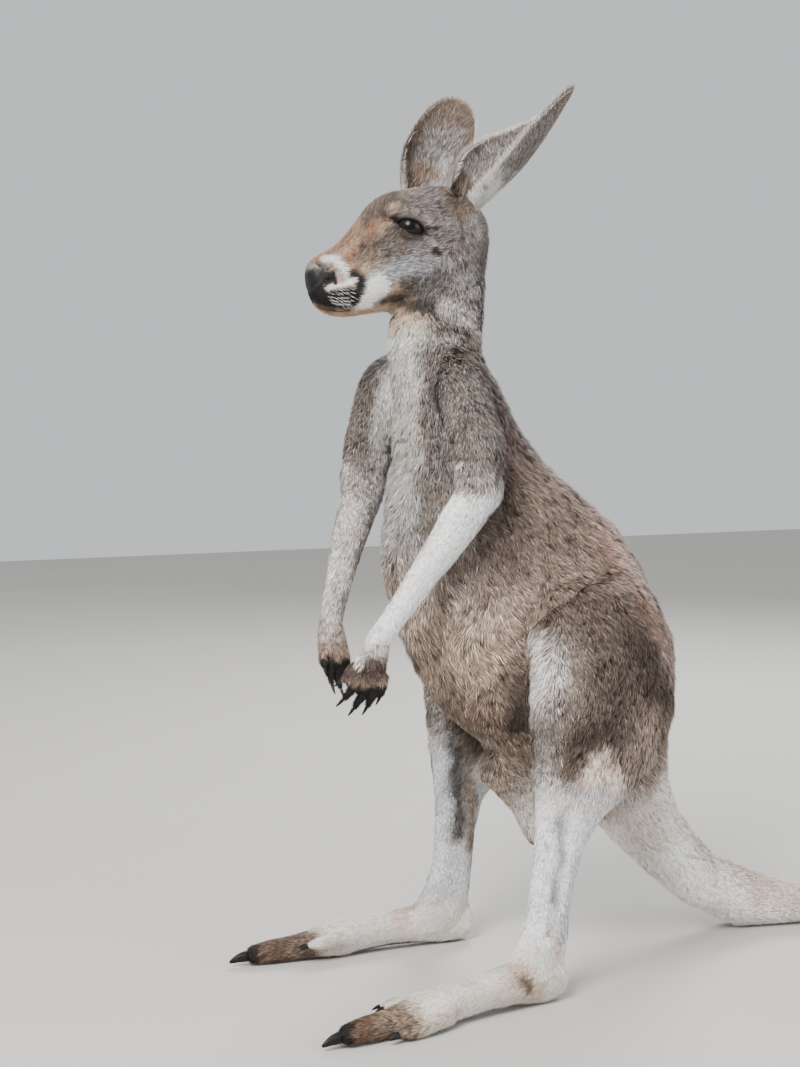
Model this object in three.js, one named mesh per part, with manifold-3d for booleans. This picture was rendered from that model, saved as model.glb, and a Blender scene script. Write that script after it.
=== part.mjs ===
// Female red kangaroo resting upright on its feet and tail, life size.
// Solids in millimetres, z up: +x is the animal's left side and -y the way it faces.
// The outlines run to the tips of the coat.
import * as THREE from "three";
import Module from "manifold-3d";

const wasm = await Module();
wasm.setup();
const { Manifold, Mesh: SolidMesh } = wasm;

// ---- driving sizes, mm ----
const GAP = 0.3; // clearance left where two pieces meet
const HEAD_TURN = THREE.MathUtils.degToRad(8); // the head looks a little to the animal's right
const HEAD_PIVOT = new THREE.Vector3(0, -100, 0); // the axis the head turns about
const TIDY = 0.12; // edges that lie flatter than this are merged after the cuts
const EYE_RADIUS = 16;
const EAR_THICKNESS = 3.2;
const FINGER_LENGTH = 27;
const HAND_CLAW_LENGTH = 12;
const BIG_CLAW_LENGTH = 24;

const v = (x, y, z) => new THREE.Vector3(x, y, z);
const SIDES = { left: 1, right: -1 };

// Where the pieces part.
const EAR_SEAT = 16; // from the root of the ear up its length
const THROAT = v(0, -172, 755);
const NECK_BASE = v(0, -165, 692);
const TAIL_ROOT = v(0, 150, 215);
const TAIL_BASE_END = 330;
const TAIL_MIDDLE_END = 590;

// ---- general tools ----

// A point of the head: distance ahead of the pivot, to the animal's left, and height above the floor.
function headPoint(ahead, left, height) {
  const forward = v(-Math.sin(HEAD_TURN), -Math.cos(HEAD_TURN), 0);
  const across = v(Math.cos(HEAD_TURN), -Math.sin(HEAD_TURN), 0);
  const point = HEAD_PIVOT.clone();
  return point.addScaledVector(forward, ahead).addScaledVector(across, left).setZ(height);
}

// One closed ring of a loft. up and side are the half axes, square bends the ellipse towards a box, and
// low moves the widest level up (above 0) or down (below 0).
function ringOf({ at, up, side, square = 2, low = 0 }, around, grow = 0) {
  const power = 2 / square;
  up = up.clone().setLength(up.length() + grow);
  side = side.clone().setLength(side.length() + grow);
  const points = [];
  for (let i = 0; i < around; i++) {
    const angle = (2 * Math.PI * i) / around;
    const c = Math.cos(angle);
    const s = Math.sin(angle);
    const rise = Math.sign(c) * Math.abs(c) ** power;
    const reach = Math.sign(s) * Math.abs(s) ** power;
    const level = low + rise * (rise > 0 ? 1 - low : 1 + low);
    points.push(at.clone().addScaledVector(up, level).addScaledVector(side, reach));
  }
  return points;
}

function solidFrom(positions, triangles) {
  let solid = new Manifold(
    new SolidMesh({
      numProp: 3,
      vertProperties: new Float32Array(positions.flatMap((p) => [p.x, p.y, p.z])),
      triVerts: new Uint32Array(triangles.flat()),
    }),
  );
  if (solid.volume() < 0) {
    solid = solidFrom(positions, triangles.map(([a, b, c]) => [a, c, b]));
  }
  return solid;
}

// A closed skin over rings of equal count, with a fan at each end.
function skinOf(rings) {
  const around = rings[0].length;
  const positions = rings.flat();
  const triangles = [];
  for (let r = 0; r + 1 < rings.length; r++) {
    for (let i = 0; i < around; i++) {
      const j = (i + 1) % around;
      const [a, b] = [r * around + i, r * around + j];
      const [c, d] = [a + around, b + around];
      triangles.push([a, b, d], [a, d, c]);
    }
  }
  for (const [ring, flip] of [[0, true], [rings.length - 1, false]]) {
    const middle = rings[ring].reduce((sum, p) => sum.add(p), v(0, 0, 0)).divideScalar(around);
    const hub = positions.push(middle) - 1;
    for (let i = 0; i < around; i++) {
      const [a, b] = [ring * around + i, ring * around + ((i + 1) % around)];
      triangles.push(flip ? [hub, b, a] : [hub, a, b]);
    }
  }
  return solidFrom(positions, triangles);
}

// Rings at the given stations, with smooth rings halfway between those that are over fineAbove apart.
// grow makes the whole that much thicker.
function loft(stations, around, { fineAbove = Infinity, grow = 0, shape = (p) => p } = {}) {
  const keys = stations.map((station) => ringOf(station, around, grow));
  const columns = keys[0].map((_, i) => {
    const column = keys.map((ring) => ring[i]);
    return new THREE.CatmullRomCurve3(column, false, "centripetal");
  });
  const spans = keys.length - 1;
  const rings = [];
  for (let r = 0; r <= spans; r++) {
    rings.push(columns.map((curve) => shape(curve.getPoint(r / spans))));
    if (r < spans && stations[r].at.distanceTo(stations[r + 1].at) > fineAbove) {
      rings.push(columns.map((curve) => shape(curve.getPoint((r + 0.5) / spans))));
    }
  }
  return skinOf(rings);
}

// A station from the two ends of its section in the y-z plane: back and belly, or rear and front.
// x gives how far out each end lies when the section stands askew.
function section({ x = [0, 0], back, front, half, square, low }) {
  const top = v(x[0], back[0], back[1]);
  const bottom = v(x[1], front[0], front[1]);
  const up = top.clone().sub(bottom).multiplyScalar(0.5);
  return { at: top.add(bottom).multiplyScalar(0.5), up, side: v(half, 0, 0), square, low };
}

// Stations along a bent spine, each square to it. deep is the radius towards the hint, wide across it.
function spine(keys, hint) {
  return keys.map(({ at, deep, wide, square, low }, i) => {
    const before = keys[Math.max(i - 1, 0)].at;
    const after = keys[Math.min(i + 1, keys.length - 1)].at;
    const along = after.clone().sub(before).normalize();
    const up = hint.clone().addScaledVector(along, -hint.dot(along)).normalize();
    const side = along.clone().cross(up);
    return { at, up: up.multiplyScalar(deep), side: side.multiplyScalar(wide), square, low };
  });
}

function ball(at, radii, turn = 0, detail = 12) {
  const sphere = new THREE.SphereGeometry(1, detail * 2, detail);
  const rings = [];
  const position = sphere.getAttribute("position");
  for (let r = 1; r < detail; r++) {
    const ring = [];
    for (let i = 0; i < detail * 2; i++) {
      const point = new THREE.Vector3().fromBufferAttribute(position, r * (detail * 2 + 1) + i);
      point.multiply(radii).applyAxisAngle(v(0, 0, 1), turn);
      ring.push(point.add(at));
    }
    rings.push(ring);
  }
  return skinOf(rings);
}

const join = (...solids) => Manifold.union(solids);

// Cuts a solid at a plane and leaves the gap there: [the side the normal points to, the other side].
function part(solid, point, normal) {
  const n = normal.clone().normalize();
  const level = point.dot(n);
  return [
    solid.trimByPlane(n.toArray(), level + GAP / 2),
    solid.trimByPlane(n.clone().negate().toArray(), GAP / 2 - level),
  ];
}

// ---- head ----

// Sections of the head, from the nose to the back of the skull: top and bottom heights and half width.
const HEAD_SECTIONS = [
  { ahead: 162.5, top: 810, bottom: 797, half: 7 },
  { ahead: 159, top: 818, bottom: 781, half: 14.5, square: 2.2 },
  { ahead: 153, top: 824, bottom: 768, half: 20, square: 2.3 },
  { ahead: 140, top: 831, bottom: 759, half: 23.5, square: 2.3, low: -0.15 },
  { ahead: 124, top: 843, bottom: 756, half: 25.5, square: 2.2, low: -0.15 },
  { ahead: 107, top: 862, bottom: 757, half: 29, low: -0.05 },
  { ahead: 90, top: 884, bottom: 760, half: 36, low: 0.1 },
  { ahead: 70, top: 897, bottom: 762, half: 44, low: 0.22 },
  { ahead: 45, top: 903, bottom: 763, half: 48.5, low: 0.16 },
  { ahead: 18, top: 907, bottom: 766, half: 50, low: 0.12 },
  { ahead: -10, top: 905, bottom: 778, half: 48, low: 0.1 },
  { ahead: -34, top: 893, bottom: 798, half: 38 },
  { ahead: -50, top: 872, bottom: 822, half: 20 },
];

// Raised and hollow places of the head, each with its middle, reach and height.
const HEAD_FORMS = [
  { name: "brow", ahead: 62, left: 44, height: 873, reach: 15, rise: 3.5 },
  { name: "cheekbone", ahead: 32, left: 50, height: 838, reach: 22, rise: 2.5 },
  { name: "eye hollow", ahead: 53, left: 47, height: 854, reach: 14, rise: -5 },
  { name: "tear hollow", ahead: 78, left: 42, height: 854, reach: 12, rise: -3.5 },
  { name: "muzzle side", ahead: 104, left: 30, height: 822, reach: 17, rise: -3.5 },
  { name: "lip", ahead: 132, left: 25, height: 781, reach: 14, rise: 2.5 },
  { name: "jaw angle", ahead: 14, left: 44, height: 786, reach: 18, rise: 2 },
];

function shapedHead(point) {
  const shaped = point.clone();
  for (const { ahead, left, height, reach, rise } of HEAD_FORMS) {
    for (const side of Object.values(SIDES)) {
      const middle = headPoint(ahead, side * left, height);
      const fall = Math.exp(-point.distanceToSquared(middle) / (reach * reach));
      const outward = headPoint(0, side, 0).sub(HEAD_PIVOT).setZ(0).normalize();
      shaped.addScaledVector(outward, rise * fall);
    }
  }
  return shaped;
}

function headSolid(grow = 0) {
  const stations = HEAD_SECTIONS.map(({ ahead, top, bottom, half, square, low }) => ({
    at: headPoint(ahead, 0, (top + bottom) / 2),
    up: v(0, 0, (top - bottom) / 2),
    side: headPoint(0, half, 0).sub(HEAD_PIVOT).setZ(0),
    square,
    low,
  }));
  return loft(stations, 22, { fineAbove: 10, grow, shape: shapedHead });
}

function nosePadRegion(grow) {
  const radii = v(18.5 + grow, 13 + grow, 19 + grow);
  return ball(headPoint(159, 0, 803), radii, -HEAD_TURN, 6);
}

const eyeCentre = (side) => headPoint(53, side * 33.5, 854);

// ---- ears ----

// An ear is a leaf rolled into a cup. At each station along it, width is the half width of the flat leaf
// and roll the half angle it is curled through. The ear grows at its root, and its hollow faces one way
// at the root and another at the tip. The left ear is turned back and rolled tighter than the right.
const EAR_STATIONS = [0, 0.12, 0.26, 0.42, 0.58, 0.74, 0.88, 0.96, 1];
const EARS = {
  left: {
    root: v(39, -97, 872),
    tip: v(80, 20, 1010),
    opening: [v(0.5, -0.7, 0.5), v(-0.5, -0.6, 0.7)],
    bow: 12,
    width: [35, 48, 58, 58, 49, 36, 20, 10, 3],
    roll: [125, 115, 100, 86, 74, 60, 48, 40, 34],
  },
  right: {
    root: v(-42, -111, 873),
    tip: v(-62.5, -45, 1015),
    opening: [v(0.86, -0.5, 0.1), v(0.86, -0.56, 0.1)],
    bow: 4,
    width: [38, 48, 52, 49, 42.5, 34.5, 24.5, 13.5, 3],
    roll: [125, 112, 92, 74, 60, 48, 38, 30, 24],
  },
};

function earSolid(ear) {
  const { root, tip, opening, bow } = ear;
  const [lengthSteps, acrossSteps] = [9, 8];
  const axis = tip.clone().sub(root);
  const length = axis.length();
  axis.normalize();
  const curveOf = (key) => new THREE.CatmullRomCurve3(
    EAR_STATIONS.map((along, i) => v(along, ear[key][i], 0)), false, "centripetal");
  const [widths, rolls] = [curveOf("width"), curveOf("roll")];
  const rings = [];
  for (let i = 0; i <= lengthSteps; i++) {
    const { x: along, y: width } = widths.getPoint(i / lengthSteps);
    const roll = THREE.MathUtils.degToRad(rolls.getPoint(i / lengthSteps).y);
    const radius = width / roll;
    const facing = opening[0].clone().lerp(opening[1], along);
    const open = facing.addScaledVector(axis, -facing.dot(axis)).normalize();
    const side = axis.clone().cross(open);
    const spot = root.clone().addScaledVector(axis, length * along);
    spot.addScaledVector(open, -bow * Math.sin(Math.PI * along));
    const thick = EAR_THICKNESS * (1 - 0.45 * along);
    const outside = [];
    const inside = [];
    for (let j = 0; j <= acrossSteps; j++) {
      const share = (2 * j) / acrossSteps - 1;
      const angle = share * roll;
      const edge = thick * (1 - 0.6 * share * share);
      for (const [list, r] of [[outside, radius], [inside, radius - edge]]) {
        const point = spot.clone().addScaledVector(side, r * Math.sin(angle));
        list.push(point.addScaledVector(open, radius - r * Math.cos(angle)));
      }
    }
    rings.push([...outside, ...inside.reverse()]);
  }
  return skinOf(rings);
}

// The ear's root, where it grows out of the skull.
function earRoot({ root, tip }) {
  const axis = tip.clone().sub(root).normalize();
  const keys = [
    { at: root.clone().addScaledVector(axis, -26), deep: 8, wide: 8 },
    { at: root.clone().addScaledVector(axis, -12), deep: 17, wide: 16 },
    { at: root.clone().addScaledVector(axis, 6), deep: 17.5, wide: 16 },
    { at: root.clone().addScaledVector(axis, 20), deep: 15, wide: 14 },
  ];
  return loft(spine(keys, v(0, -1, 0)), 12);
}

// ---- neck, trunk and tail ----

const BODY_SECTIONS = [
  { back: [-62, 878], front: [-118, 860], half: 18 },
  { back: [-47, 848], front: [-145, 815], half: 36 },
  { back: [-45, 800], front: [-163, 772], half: 45 },
  { back: [-51, 752], front: [-170, 738], half: 48 },
  { back: [-55, 722], front: [-166, 700], half: 53, low: 0.1 },
  { back: [-38, 688], front: [-160, 655], half: 66, low: 0.2 },
  { back: [-16, 645], front: [-159, 602], half: 80, low: 0.15 },
  { back: [22, 602], front: [-168, 550], half: 90, low: 0.05 },
  { back: [72, 566], front: [-174, 498], half: 100 },
  { back: [123, 527], front: [-168, 448], half: 112 },
  { back: [160, 478], front: [-147, 396], half: 120 },
  { back: [186, 420], front: [-126, 350], half: 120 },
  { back: [201, 360], front: [-92, 306], half: 107 },
  { back: [209, 303], front: [-40, 264], half: 91 },
  { back: [208, 254], front: [30, 214], half: 75 },
  { back: [210, 213], front: [103, 172], half: 60 },
  { back: [228, 173], front: [158, 116], half: 50 },
  { back: [258, 136], front: [203, 76], half: 44 },
  { back: [299, 98], front: [248, 40], half: 38 },
];

// The tail on the floor: how far back, how far to the left, thickness and half width.
const TAIL_LENGTHS = [
  { y: 330, x: 2, top: 70, half: 34 },
  { y: 400, x: 22, top: 56, half: 29 },
  { y: 480, x: 54, top: 47, half: 24.5 },
  { y: 570, x: 92, top: 39, half: 20.5 },
  { y: 670, x: 130, top: 32, half: 17 },
  { y: 770, x: 158, top: 26, half: 13.5 },
  { y: 850, x: 172, top: 20, half: 10 },
  { y: 885, x: 176, top: 13, half: 6 },
];

function bodySolid(grow = 0) {
  const stations = BODY_SECTIONS.map(section);
  for (const { y, x, top, half } of TAIL_LENGTHS) {
    const turn = THREE.MathUtils.clamp((y - 330) / 150, 0, 1) * 0.38;
    const side = v(Math.cos(turn), -Math.sin(turn), 0).multiplyScalar(half);
    const lean = y < 340 ? 32 : 0; // the first of them still slopes
    const up = v(0, lean / 2, top / 2 + 0.75);
    stations.push({ at: v(x, y + lean / 2, top / 2 - 0.75), up, side });
  }
  return loft(stations, 20, { grow });
}

// A loose fold of furred skin at the groin, hanging between the legs.
function groinFold() {
  const keys = [
    { at: v(0, -26, 268), deep: 50, wide: 30 },
    { at: v(0, 12, 228), deep: 46, wide: 24 },
    { at: v(0, 22, 192), deep: 32, wide: 17 },
    { at: v(0, 26, 162), deep: 20, wide: 12 },
    { at: v(0, 27, 144), deep: 10, wide: 8 },
    { at: v(0, 27, 137), deep: 3, wide: 3 },
  ];
  return loft(spine(keys, v(0, 1, 0)), 12);
}

// ---- hind legs ----

const LEG_SECTIONS = [
  { x: [72, 84], back: [116, 474], front: [6, 488], half: 16 },
  { x: [80, 106], back: [140, 440], front: [-30, 458], half: 37 },
  { x: [88, 119], back: [158, 396], front: [-51, 418], half: 49 },
  { x: [92, 123], back: [156, 345], front: [-60, 366], half: 52, square: 2.2 },
  { x: [96, 124], back: [152, 300], front: [-60, 318], half: 48, square: 2.2 },
  { x: [103, 123], back: [130, 254], front: [-59, 274], half: 41 },
  { x: [111, 121], back: [88, 227], front: [-56, 242], half: 32 },
  { x: [118, 120], back: [44, 204], front: [-53, 212], half: 25 },
  { x: [119, 119], back: [17, 174], front: [-52, 180], half: 20.5 },
  { x: [118, 118], back: [4, 136], front: [-55, 140], half: 17 },
  { x: [117, 117], back: [-2, 96], front: [-61, 100], half: 16.5 },
  { x: [117, 117], back: [-7, 56], front: [-72, 72], half: 18.5 },
  { x: [117, 117], back: [-14, 26], front: [-88, 46], half: 19 },
  { x: [117, 117], back: [-30, 10], front: [-80, 24], half: 14 },
];
// Sections of the foot from the heel forward.
const FOOT_SECTIONS = [
  { ahead: 2, top: 34, bottom: 12, half: 9 },
  { ahead: 12, top: 52, bottom: 1, half: 17 },
  { ahead: 35, top: 56, bottom: -3, half: 19.5, square: 2.3 },
  { ahead: 75, top: 53, bottom: 2, half: 19, square: 2.3 },
  { ahead: 120, top: 46, bottom: 3, half: 19, square: 2.2 },
  { ahead: 160, top: 45, bottom: 0, half: 21, square: 2.2 },
  { ahead: 184, top: 42, bottom: -4, half: 24, square: 2.3 },
  { ahead: 208, top: 37, bottom: -3, half: 19, square: 2.3 },
  { ahead: 240, top: 31, bottom: -2.5, half: 15.5, square: 2.3 },
  { ahead: 270, top: 29, bottom: -2.5, half: 14.5, square: 2.3 },
  { ahead: 288, top: 25, bottom: -1, half: 11.5 },
  { ahead: 294, top: 22, bottom: 3, half: 8 },
];
// Where each foot stands: the heel, and the angle it points outwards.
const FEET = {
  left: { heel: v(117, -7, 0), out: THREE.MathUtils.degToRad(4) },
  right: { heel: v(-117, 16, 0), out: THREE.MathUtils.degToRad(7) },
};
const LEG_SHIFT = { left: 0, right: 14 }; // how far back each leg stands

// A hind leg from the haunch to the heel.
function legSolid(name) {
  const side = SIDES[name];
  const shift = LEG_SHIFT[name];
  const stations = LEG_SECTIONS.map((s) => {
    // the leg swings back to its foot from the hip down
    const swing = shift * THREE.MathUtils.clamp((400 - s.back[1]) / 300, 0, 1);
    const slide = ([y, z]) => [y + swing, z];
    const x = s.x.map((out) => side * out);
    return section({ ...s, x, back: slide(s.back), front: slide(s.front) });
  });
  return loft(stations, 15);
}

// A point of a foot: how far ahead of the heel, how far to its outer side, and the height.
function footPoint(name, ahead, outer, height) {
  const { heel, out } = FEET[name];
  const side = SIDES[name];
  const x = heel.x + side * (Math.sin(out) * ahead + Math.cos(out) * outer);
  const y = heel.y - Math.cos(out) * ahead + Math.sin(out) * outer;
  return v(x, y, height);
}

function footSolid(name) {
  const stations = FOOT_SECTIONS.map(({ ahead, top, bottom, half, square }) => {
    const at = footPoint(name, ahead, 0, (top + bottom) / 2);
    const side = footPoint(name, ahead, half, at.z).sub(at);
    return { at, up: v(0, 0, (top - bottom) / 2), side, square };
  });
  return loft(stations, 10);
}

// The outer toe, and the pair of slim inner toes grown together.
function sideToes(name) {
  const outer = [
    { at: footPoint(name, 165, 14, 15), deep: 13, wide: 11 },
    { at: footPoint(name, 195, 20, 13), deep: 13, wide: 10 },
    { at: footPoint(name, 222, 23, 10), deep: 11, wide: 8.5 },
    { at: footPoint(name, 238, 23, 10), deep: 7, wide: 5.5 },
  ];
  const inner = [
    { at: footPoint(name, 160, -13, 24), deep: 13, wide: 9 },
    { at: footPoint(name, 188, -20, 25), deep: 12, wide: 9 },
    { at: footPoint(name, 214, -25, 24), deep: 9, wide: 9.5 },
    { at: footPoint(name, 229, -25, 24), deep: 5, wide: 7 },
  ];
  const up = v(0, 0, 1);
  return join(loft(spine(outer, up), 8), loft(spine(inner, up), 8));
}

// ---- arms ----

const ARMS = {
  left: {
    top: v(46, -112, 718),
    shoulder: v(64, -112, 682),
    upper: v(94, -112, 626),
    elbow: v(108, -116, 573),
    fore: v(93, -158, 504),
    wrist: v(62, -217, 408),
    knuckles: v(55, -228, 363),
    across: v(0.45, 0.87, -0.12),
  },
  right: {
    top: v(-50, -132, 722),
    shoulder: v(-68, -134, 688),
    upper: v(-93, -142, 628),
    elbow: v(-105, -148, 570),
    fore: v(-90, -176, 502),
    wrist: v(-61, -213, 414),
    knuckles: v(-54, -211, 372),
    across: v(-0.45, 0.87, 0.12),
  },
};

function upperArmSolid(name) {
  const { top, shoulder, upper, elbow } = ARMS[name];
  const keys = [
    { at: top, deep: 16, wide: 10 },
    { at: top.clone().lerp(shoulder, 0.5), deep: 31, wide: 20 },
    { at: shoulder, deep: 40, wide: 26 },
    { at: upper, deep: 36, wide: 26 },
    { at: elbow, deep: 33, wide: 23 },
    { at: elbow.clone().add(v(0, 5, -24)), deep: 13, wide: 10 },
  ];
  return loft(spine(keys, v(0, -1, 0)), 10);
}

function forearmSolid(name) {
  const { elbow, fore, wrist, knuckles } = ARMS[name];
  const keys = [
    { at: elbow.clone().add(v(0, 22, 20)), deep: 12, wide: 10 },
    { at: elbow.clone().add(v(0, 6, 4)), deep: 29, wide: 21 },
    { at: fore, deep: 22.5, wide: 18 },
    { at: fore.clone().lerp(wrist, 0.5), deep: 17.5, wide: 14 },
    { at: wrist, deep: 15.5, wide: 12 },
    { at: wrist.clone().lerp(knuckles, 0.5), deep: 18, wide: 12 },
    { at: knuckles, deep: 20.5, wide: 11 },
    { at: knuckles.clone().add(v(0, 0, -8)), deep: 15, wide: 6 },
  ];
  return loft(spine(keys, v(0, -1, 0)), 10);
}

// Place along the knuckles, spread, length and forward curl of the five fingers, front to back.
const FINGERS = [
  { place: -0.92, spread: -0.34, length: 0.62, start: -4 },
  { place: -0.5, spread: -0.2, length: 0.95, start: 6 },
  { place: 0, spread: -0.02, length: 1.05, start: 8 },
  { place: 0.5, spread: 0.1, length: 0.92, start: 6 },
  { place: 0.92, spread: 0.2, length: 0.7, start: -2 },
];

function fingerLine(name, { place, spread, length, start }) {
  const { wrist, knuckles, across } = ARMS[name];
  const down = knuckles.clone().sub(wrist).normalize();
  const row = across.clone().addScaledVector(down, -across.dot(down)).normalize();
  const inward = v(-SIDES[name], 0, 0);
  const root = knuckles.clone().addScaledVector(row, place * 19).addScaledVector(down, start - 8);
  const way = down.clone().addScaledVector(row, spread).addScaledVector(inward, 0.12).normalize();
  const bend = way.clone().addScaledVector(inward, 0.35).normalize();
  return { root, way, bend, reach: FINGER_LENGTH * length, row };
}

function fingerSolid(name, finger) {
  const { root, way, bend, reach, row } = fingerLine(name, finger);
  const middle = root.clone().addScaledVector(way, reach * 0.6);
  const keys = [
    { at: root.clone().addScaledVector(way, -6), deep: 5, wide: 5 },
    { at: root.clone().addScaledVector(way, 4), deep: 6, wide: 6 },
    { at: middle, deep: 5.2, wide: 5.2 },
    { at: middle.clone().addScaledVector(bend, reach * 0.6), deep: 3.6, wide: 3.4 },
  ];
  return loft(spine(keys, row), 6);
}

// ---- claws ----

// A curved tapering claw, from its root at the end of the toe or finger.
function clawSolid({ root, way, droop, length, deep, wide }) {
  const along = way.clone().normalize();
  const keys = [-0.2, 0.5, 1].map((share) => {
    const at = root.clone().addScaledVector(along, length * share);
    at.addScaledVector(droop, length * 0.25 * share * share);
    const thin = Math.sqrt(1 - Math.max(share, 0) * 0.95);
    return { at, deep: deep * thin, wide: wide * thin };
  });
  const claw = loft(spine(keys, droop.clone().negate()), 6);
  return claw.trimByPlane(along.toArray(), root.dot(along) + GAP);
}

function handClaws(name) {
  return FINGERS.map((finger) => {
    const { root, way, bend, reach } = fingerLine(name, finger);
    const end = root.clone().addScaledVector(way, reach * 0.6);
    end.addScaledVector(bend, reach * 0.6);
    const droop = v(-SIDES[name], 0, -0.1).normalize();
    return { root: end, way: bend, droop, length: HAND_CLAW_LENGTH, deep: 2.8, wide: 2.3 };
  });
}

function footClaws(name) {
  const droop = v(0, 0, -1);
  const way = footPoint(name, 1, 0, 0).sub(footPoint(name, 0, 0, 0));
  const toe = (root, length, deep, wide) => ({ root, way, droop, length, deep, wide });
  return {
    big: toe(footPoint(name, 294, 0, 12.5), BIG_CLAW_LENGTH, 9, 6.5),
    outer: toe(footPoint(name, 238, 23, 10), 13, 5.5, 4.5),
    inner_near: toe(footPoint(name, 229, -21.5, 24), 11, 3, 2.4),
    inner_far: toe(footPoint(name, 229, -28.5, 24), 11, 3, 2.4),
  };
}

// ---- parting the whole into its pieces ----

const COAT = { color: 0x9a8674, roughness: 0.95 };
const PALE_COAT = { color: 0xd8cfc2, roughness: 0.95 };
const NOSE = { color: 0x2a2524, roughness: 0.55 };
const EYE = { color: 0x1c1310, roughness: 0.08 };
const CLAW = { color: 0x26211f, roughness: 0.4 };

const group = new THREE.Group();

function add(name, solid, surface) {
  const { vertProperties, triVerts, numProp } = solid.simplify(TIDY).getMesh();
  const geometry = new THREE.BufferGeometry();
  geometry.setAttribute("position", new THREE.BufferAttribute(vertProperties, numProp));
  geometry.setIndex(new THREE.BufferAttribute(triVerts, 1));
  const mesh = new THREE.Mesh(geometry, new THREE.MeshStandardMaterial({ ...surface, metalness: 0 }));
  mesh.name = name;
  group.add(mesh);
}

const floorTrim = (solid) => solid.trimByPlane([0, 0, 1], 0);

function addEars() {
  const roots = [];
  for (const [name, ear] of Object.entries(EARS)) {
    const axis = ear.tip.clone().sub(ear.root).normalize();
    const seat = ear.root.clone().addScaledVector(axis, EAR_SEAT);
    roots.push(part(earRoot(ear), seat, axis)[1]);
    const [leaf] = part(earSolid(ear), seat, axis);
    add(`${name}_ear`, leaf.subtract(headSolid(GAP)), COAT);
  }
  return roots;
}

function addHeadAndNeck(front, earRoots) {
  let [head, neck] = part(join(front, ...earRoots), THROAT, v(0, -0.42, 0.91));
  add("nose_pad", head.intersect(nosePadRegion(0)), NOSE);
  head = head.subtract(nosePadRegion(GAP));
  for (const [name, side] of Object.entries(SIDES)) {
    const radius = v(1, 1, 1).multiplyScalar(EYE_RADIUS);
    add(`${name}_eye`, ball(eyeCentre(side), radius, 0, 6), EYE);
    head = head.subtract(ball(eyeCentre(side), radius.addScalar(GAP), 0, 6));
  }
  add("head", head, COAT);
  add("neck", neck, COAT);
}

function addTail(tail) {
  const [rest, base] = part(tail, v(0, TAIL_BASE_END, 0), v(0, 1, 0));
  const [end, middle] = part(rest, v(0, TAIL_MIDDLE_END, 0), v(0.35, 1, 0));
  add("tail_base", base, COAT);
  add("tail_middle", middle, PALE_COAT);
  add("tail_end", end, COAT);
}

function addLeg(name, grownBody) {
  const leg = floorTrim(join(legSolid(name), footSolid(name), sideToes(name)));
  const whole = leg.subtract(grownBody);
  const drop = v(0, LEG_SHIFT[name], 0);
  const [thigh, lower] = part(whole, v(0, -56, 246).add(drop), v(0, 0.14, 0.99));
  const [shin, foot] = part(lower, v(0, -60, 79).add(drop), v(0, 0.28, 0.96));
  for (const [claw, sizes] of Object.entries(footClaws(name))) {
    add(`${name}_foot_claw_${claw}`, floorTrim(clawSolid(sizes)), CLAW);
  }
  add(`${name}_thigh`, thigh, COAT);
  add(`${name}_shin`, shin, PALE_COAT);
  add(`${name}_foot`, foot, PALE_COAT);
}

function addArm(name, grownBody) {
  const { elbow, fore, wrist, knuckles } = ARMS[name];
  const arm = join(upperArmSolid(name), forearmSolid(name)).subtract(grownBody);
  const bend = fore.clone().sub(elbow).normalize().add(v(0, -0.35, -1));
  const [lower, upper] = part(arm, elbow.clone().add(v(0, -4, -8)), bend);
  const [palm, forearm] = part(lower, wrist, knuckles.clone().sub(wrist));
  const hand = join(palm, ...FINGERS.map((finger) => fingerSolid(name, finger)));
  handClaws(name).forEach((sizes, i) => {
    add(`${name}_hand_claw_${i + 1}`, clawSolid(sizes), CLAW);
  });
  add(`${name}_upper_arm`, upper, COAT);
  add(`${name}_forearm`, forearm, PALE_COAT);
  add(`${name}_hand`, hand, COAT);
}

const body = floorTrim(bodySolid());
const [front, rear] = part(body, NECK_BASE, v(0, -0.31, 0.95));
const [tail, trunk] = part(rear, TAIL_ROOT, v(0, 0.75, -0.66));
const grownBody = bodySolid(GAP); // cut from the limbs, so that they meet the trunk with the gap

addHeadAndNeck(join(front, headSolid()), addEars());
add("trunk", join(trunk, groinFold()), COAT);
addTail(tail);
for (const name of Object.keys(SIDES)) {
  addLeg(name, grownBody);
  addArm(name, grownBody);
}

// The origin is the middle of the underside of the box round the whole animal.
const extent = new THREE.Box3().setFromObject(group);
const centre = extent.getCenter(v(0, 0, 0));
for (const mesh of group.children) {
  mesh.geometry.translate(-centre.x, -centre.y, -extent.min.z);
}

export default group;
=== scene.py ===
import math

import bpy
import numpy as np
import openvdb
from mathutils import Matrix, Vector
from mathutils.bvhtree import BVHTree
from mathutils.kdtree import KDTree


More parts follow.
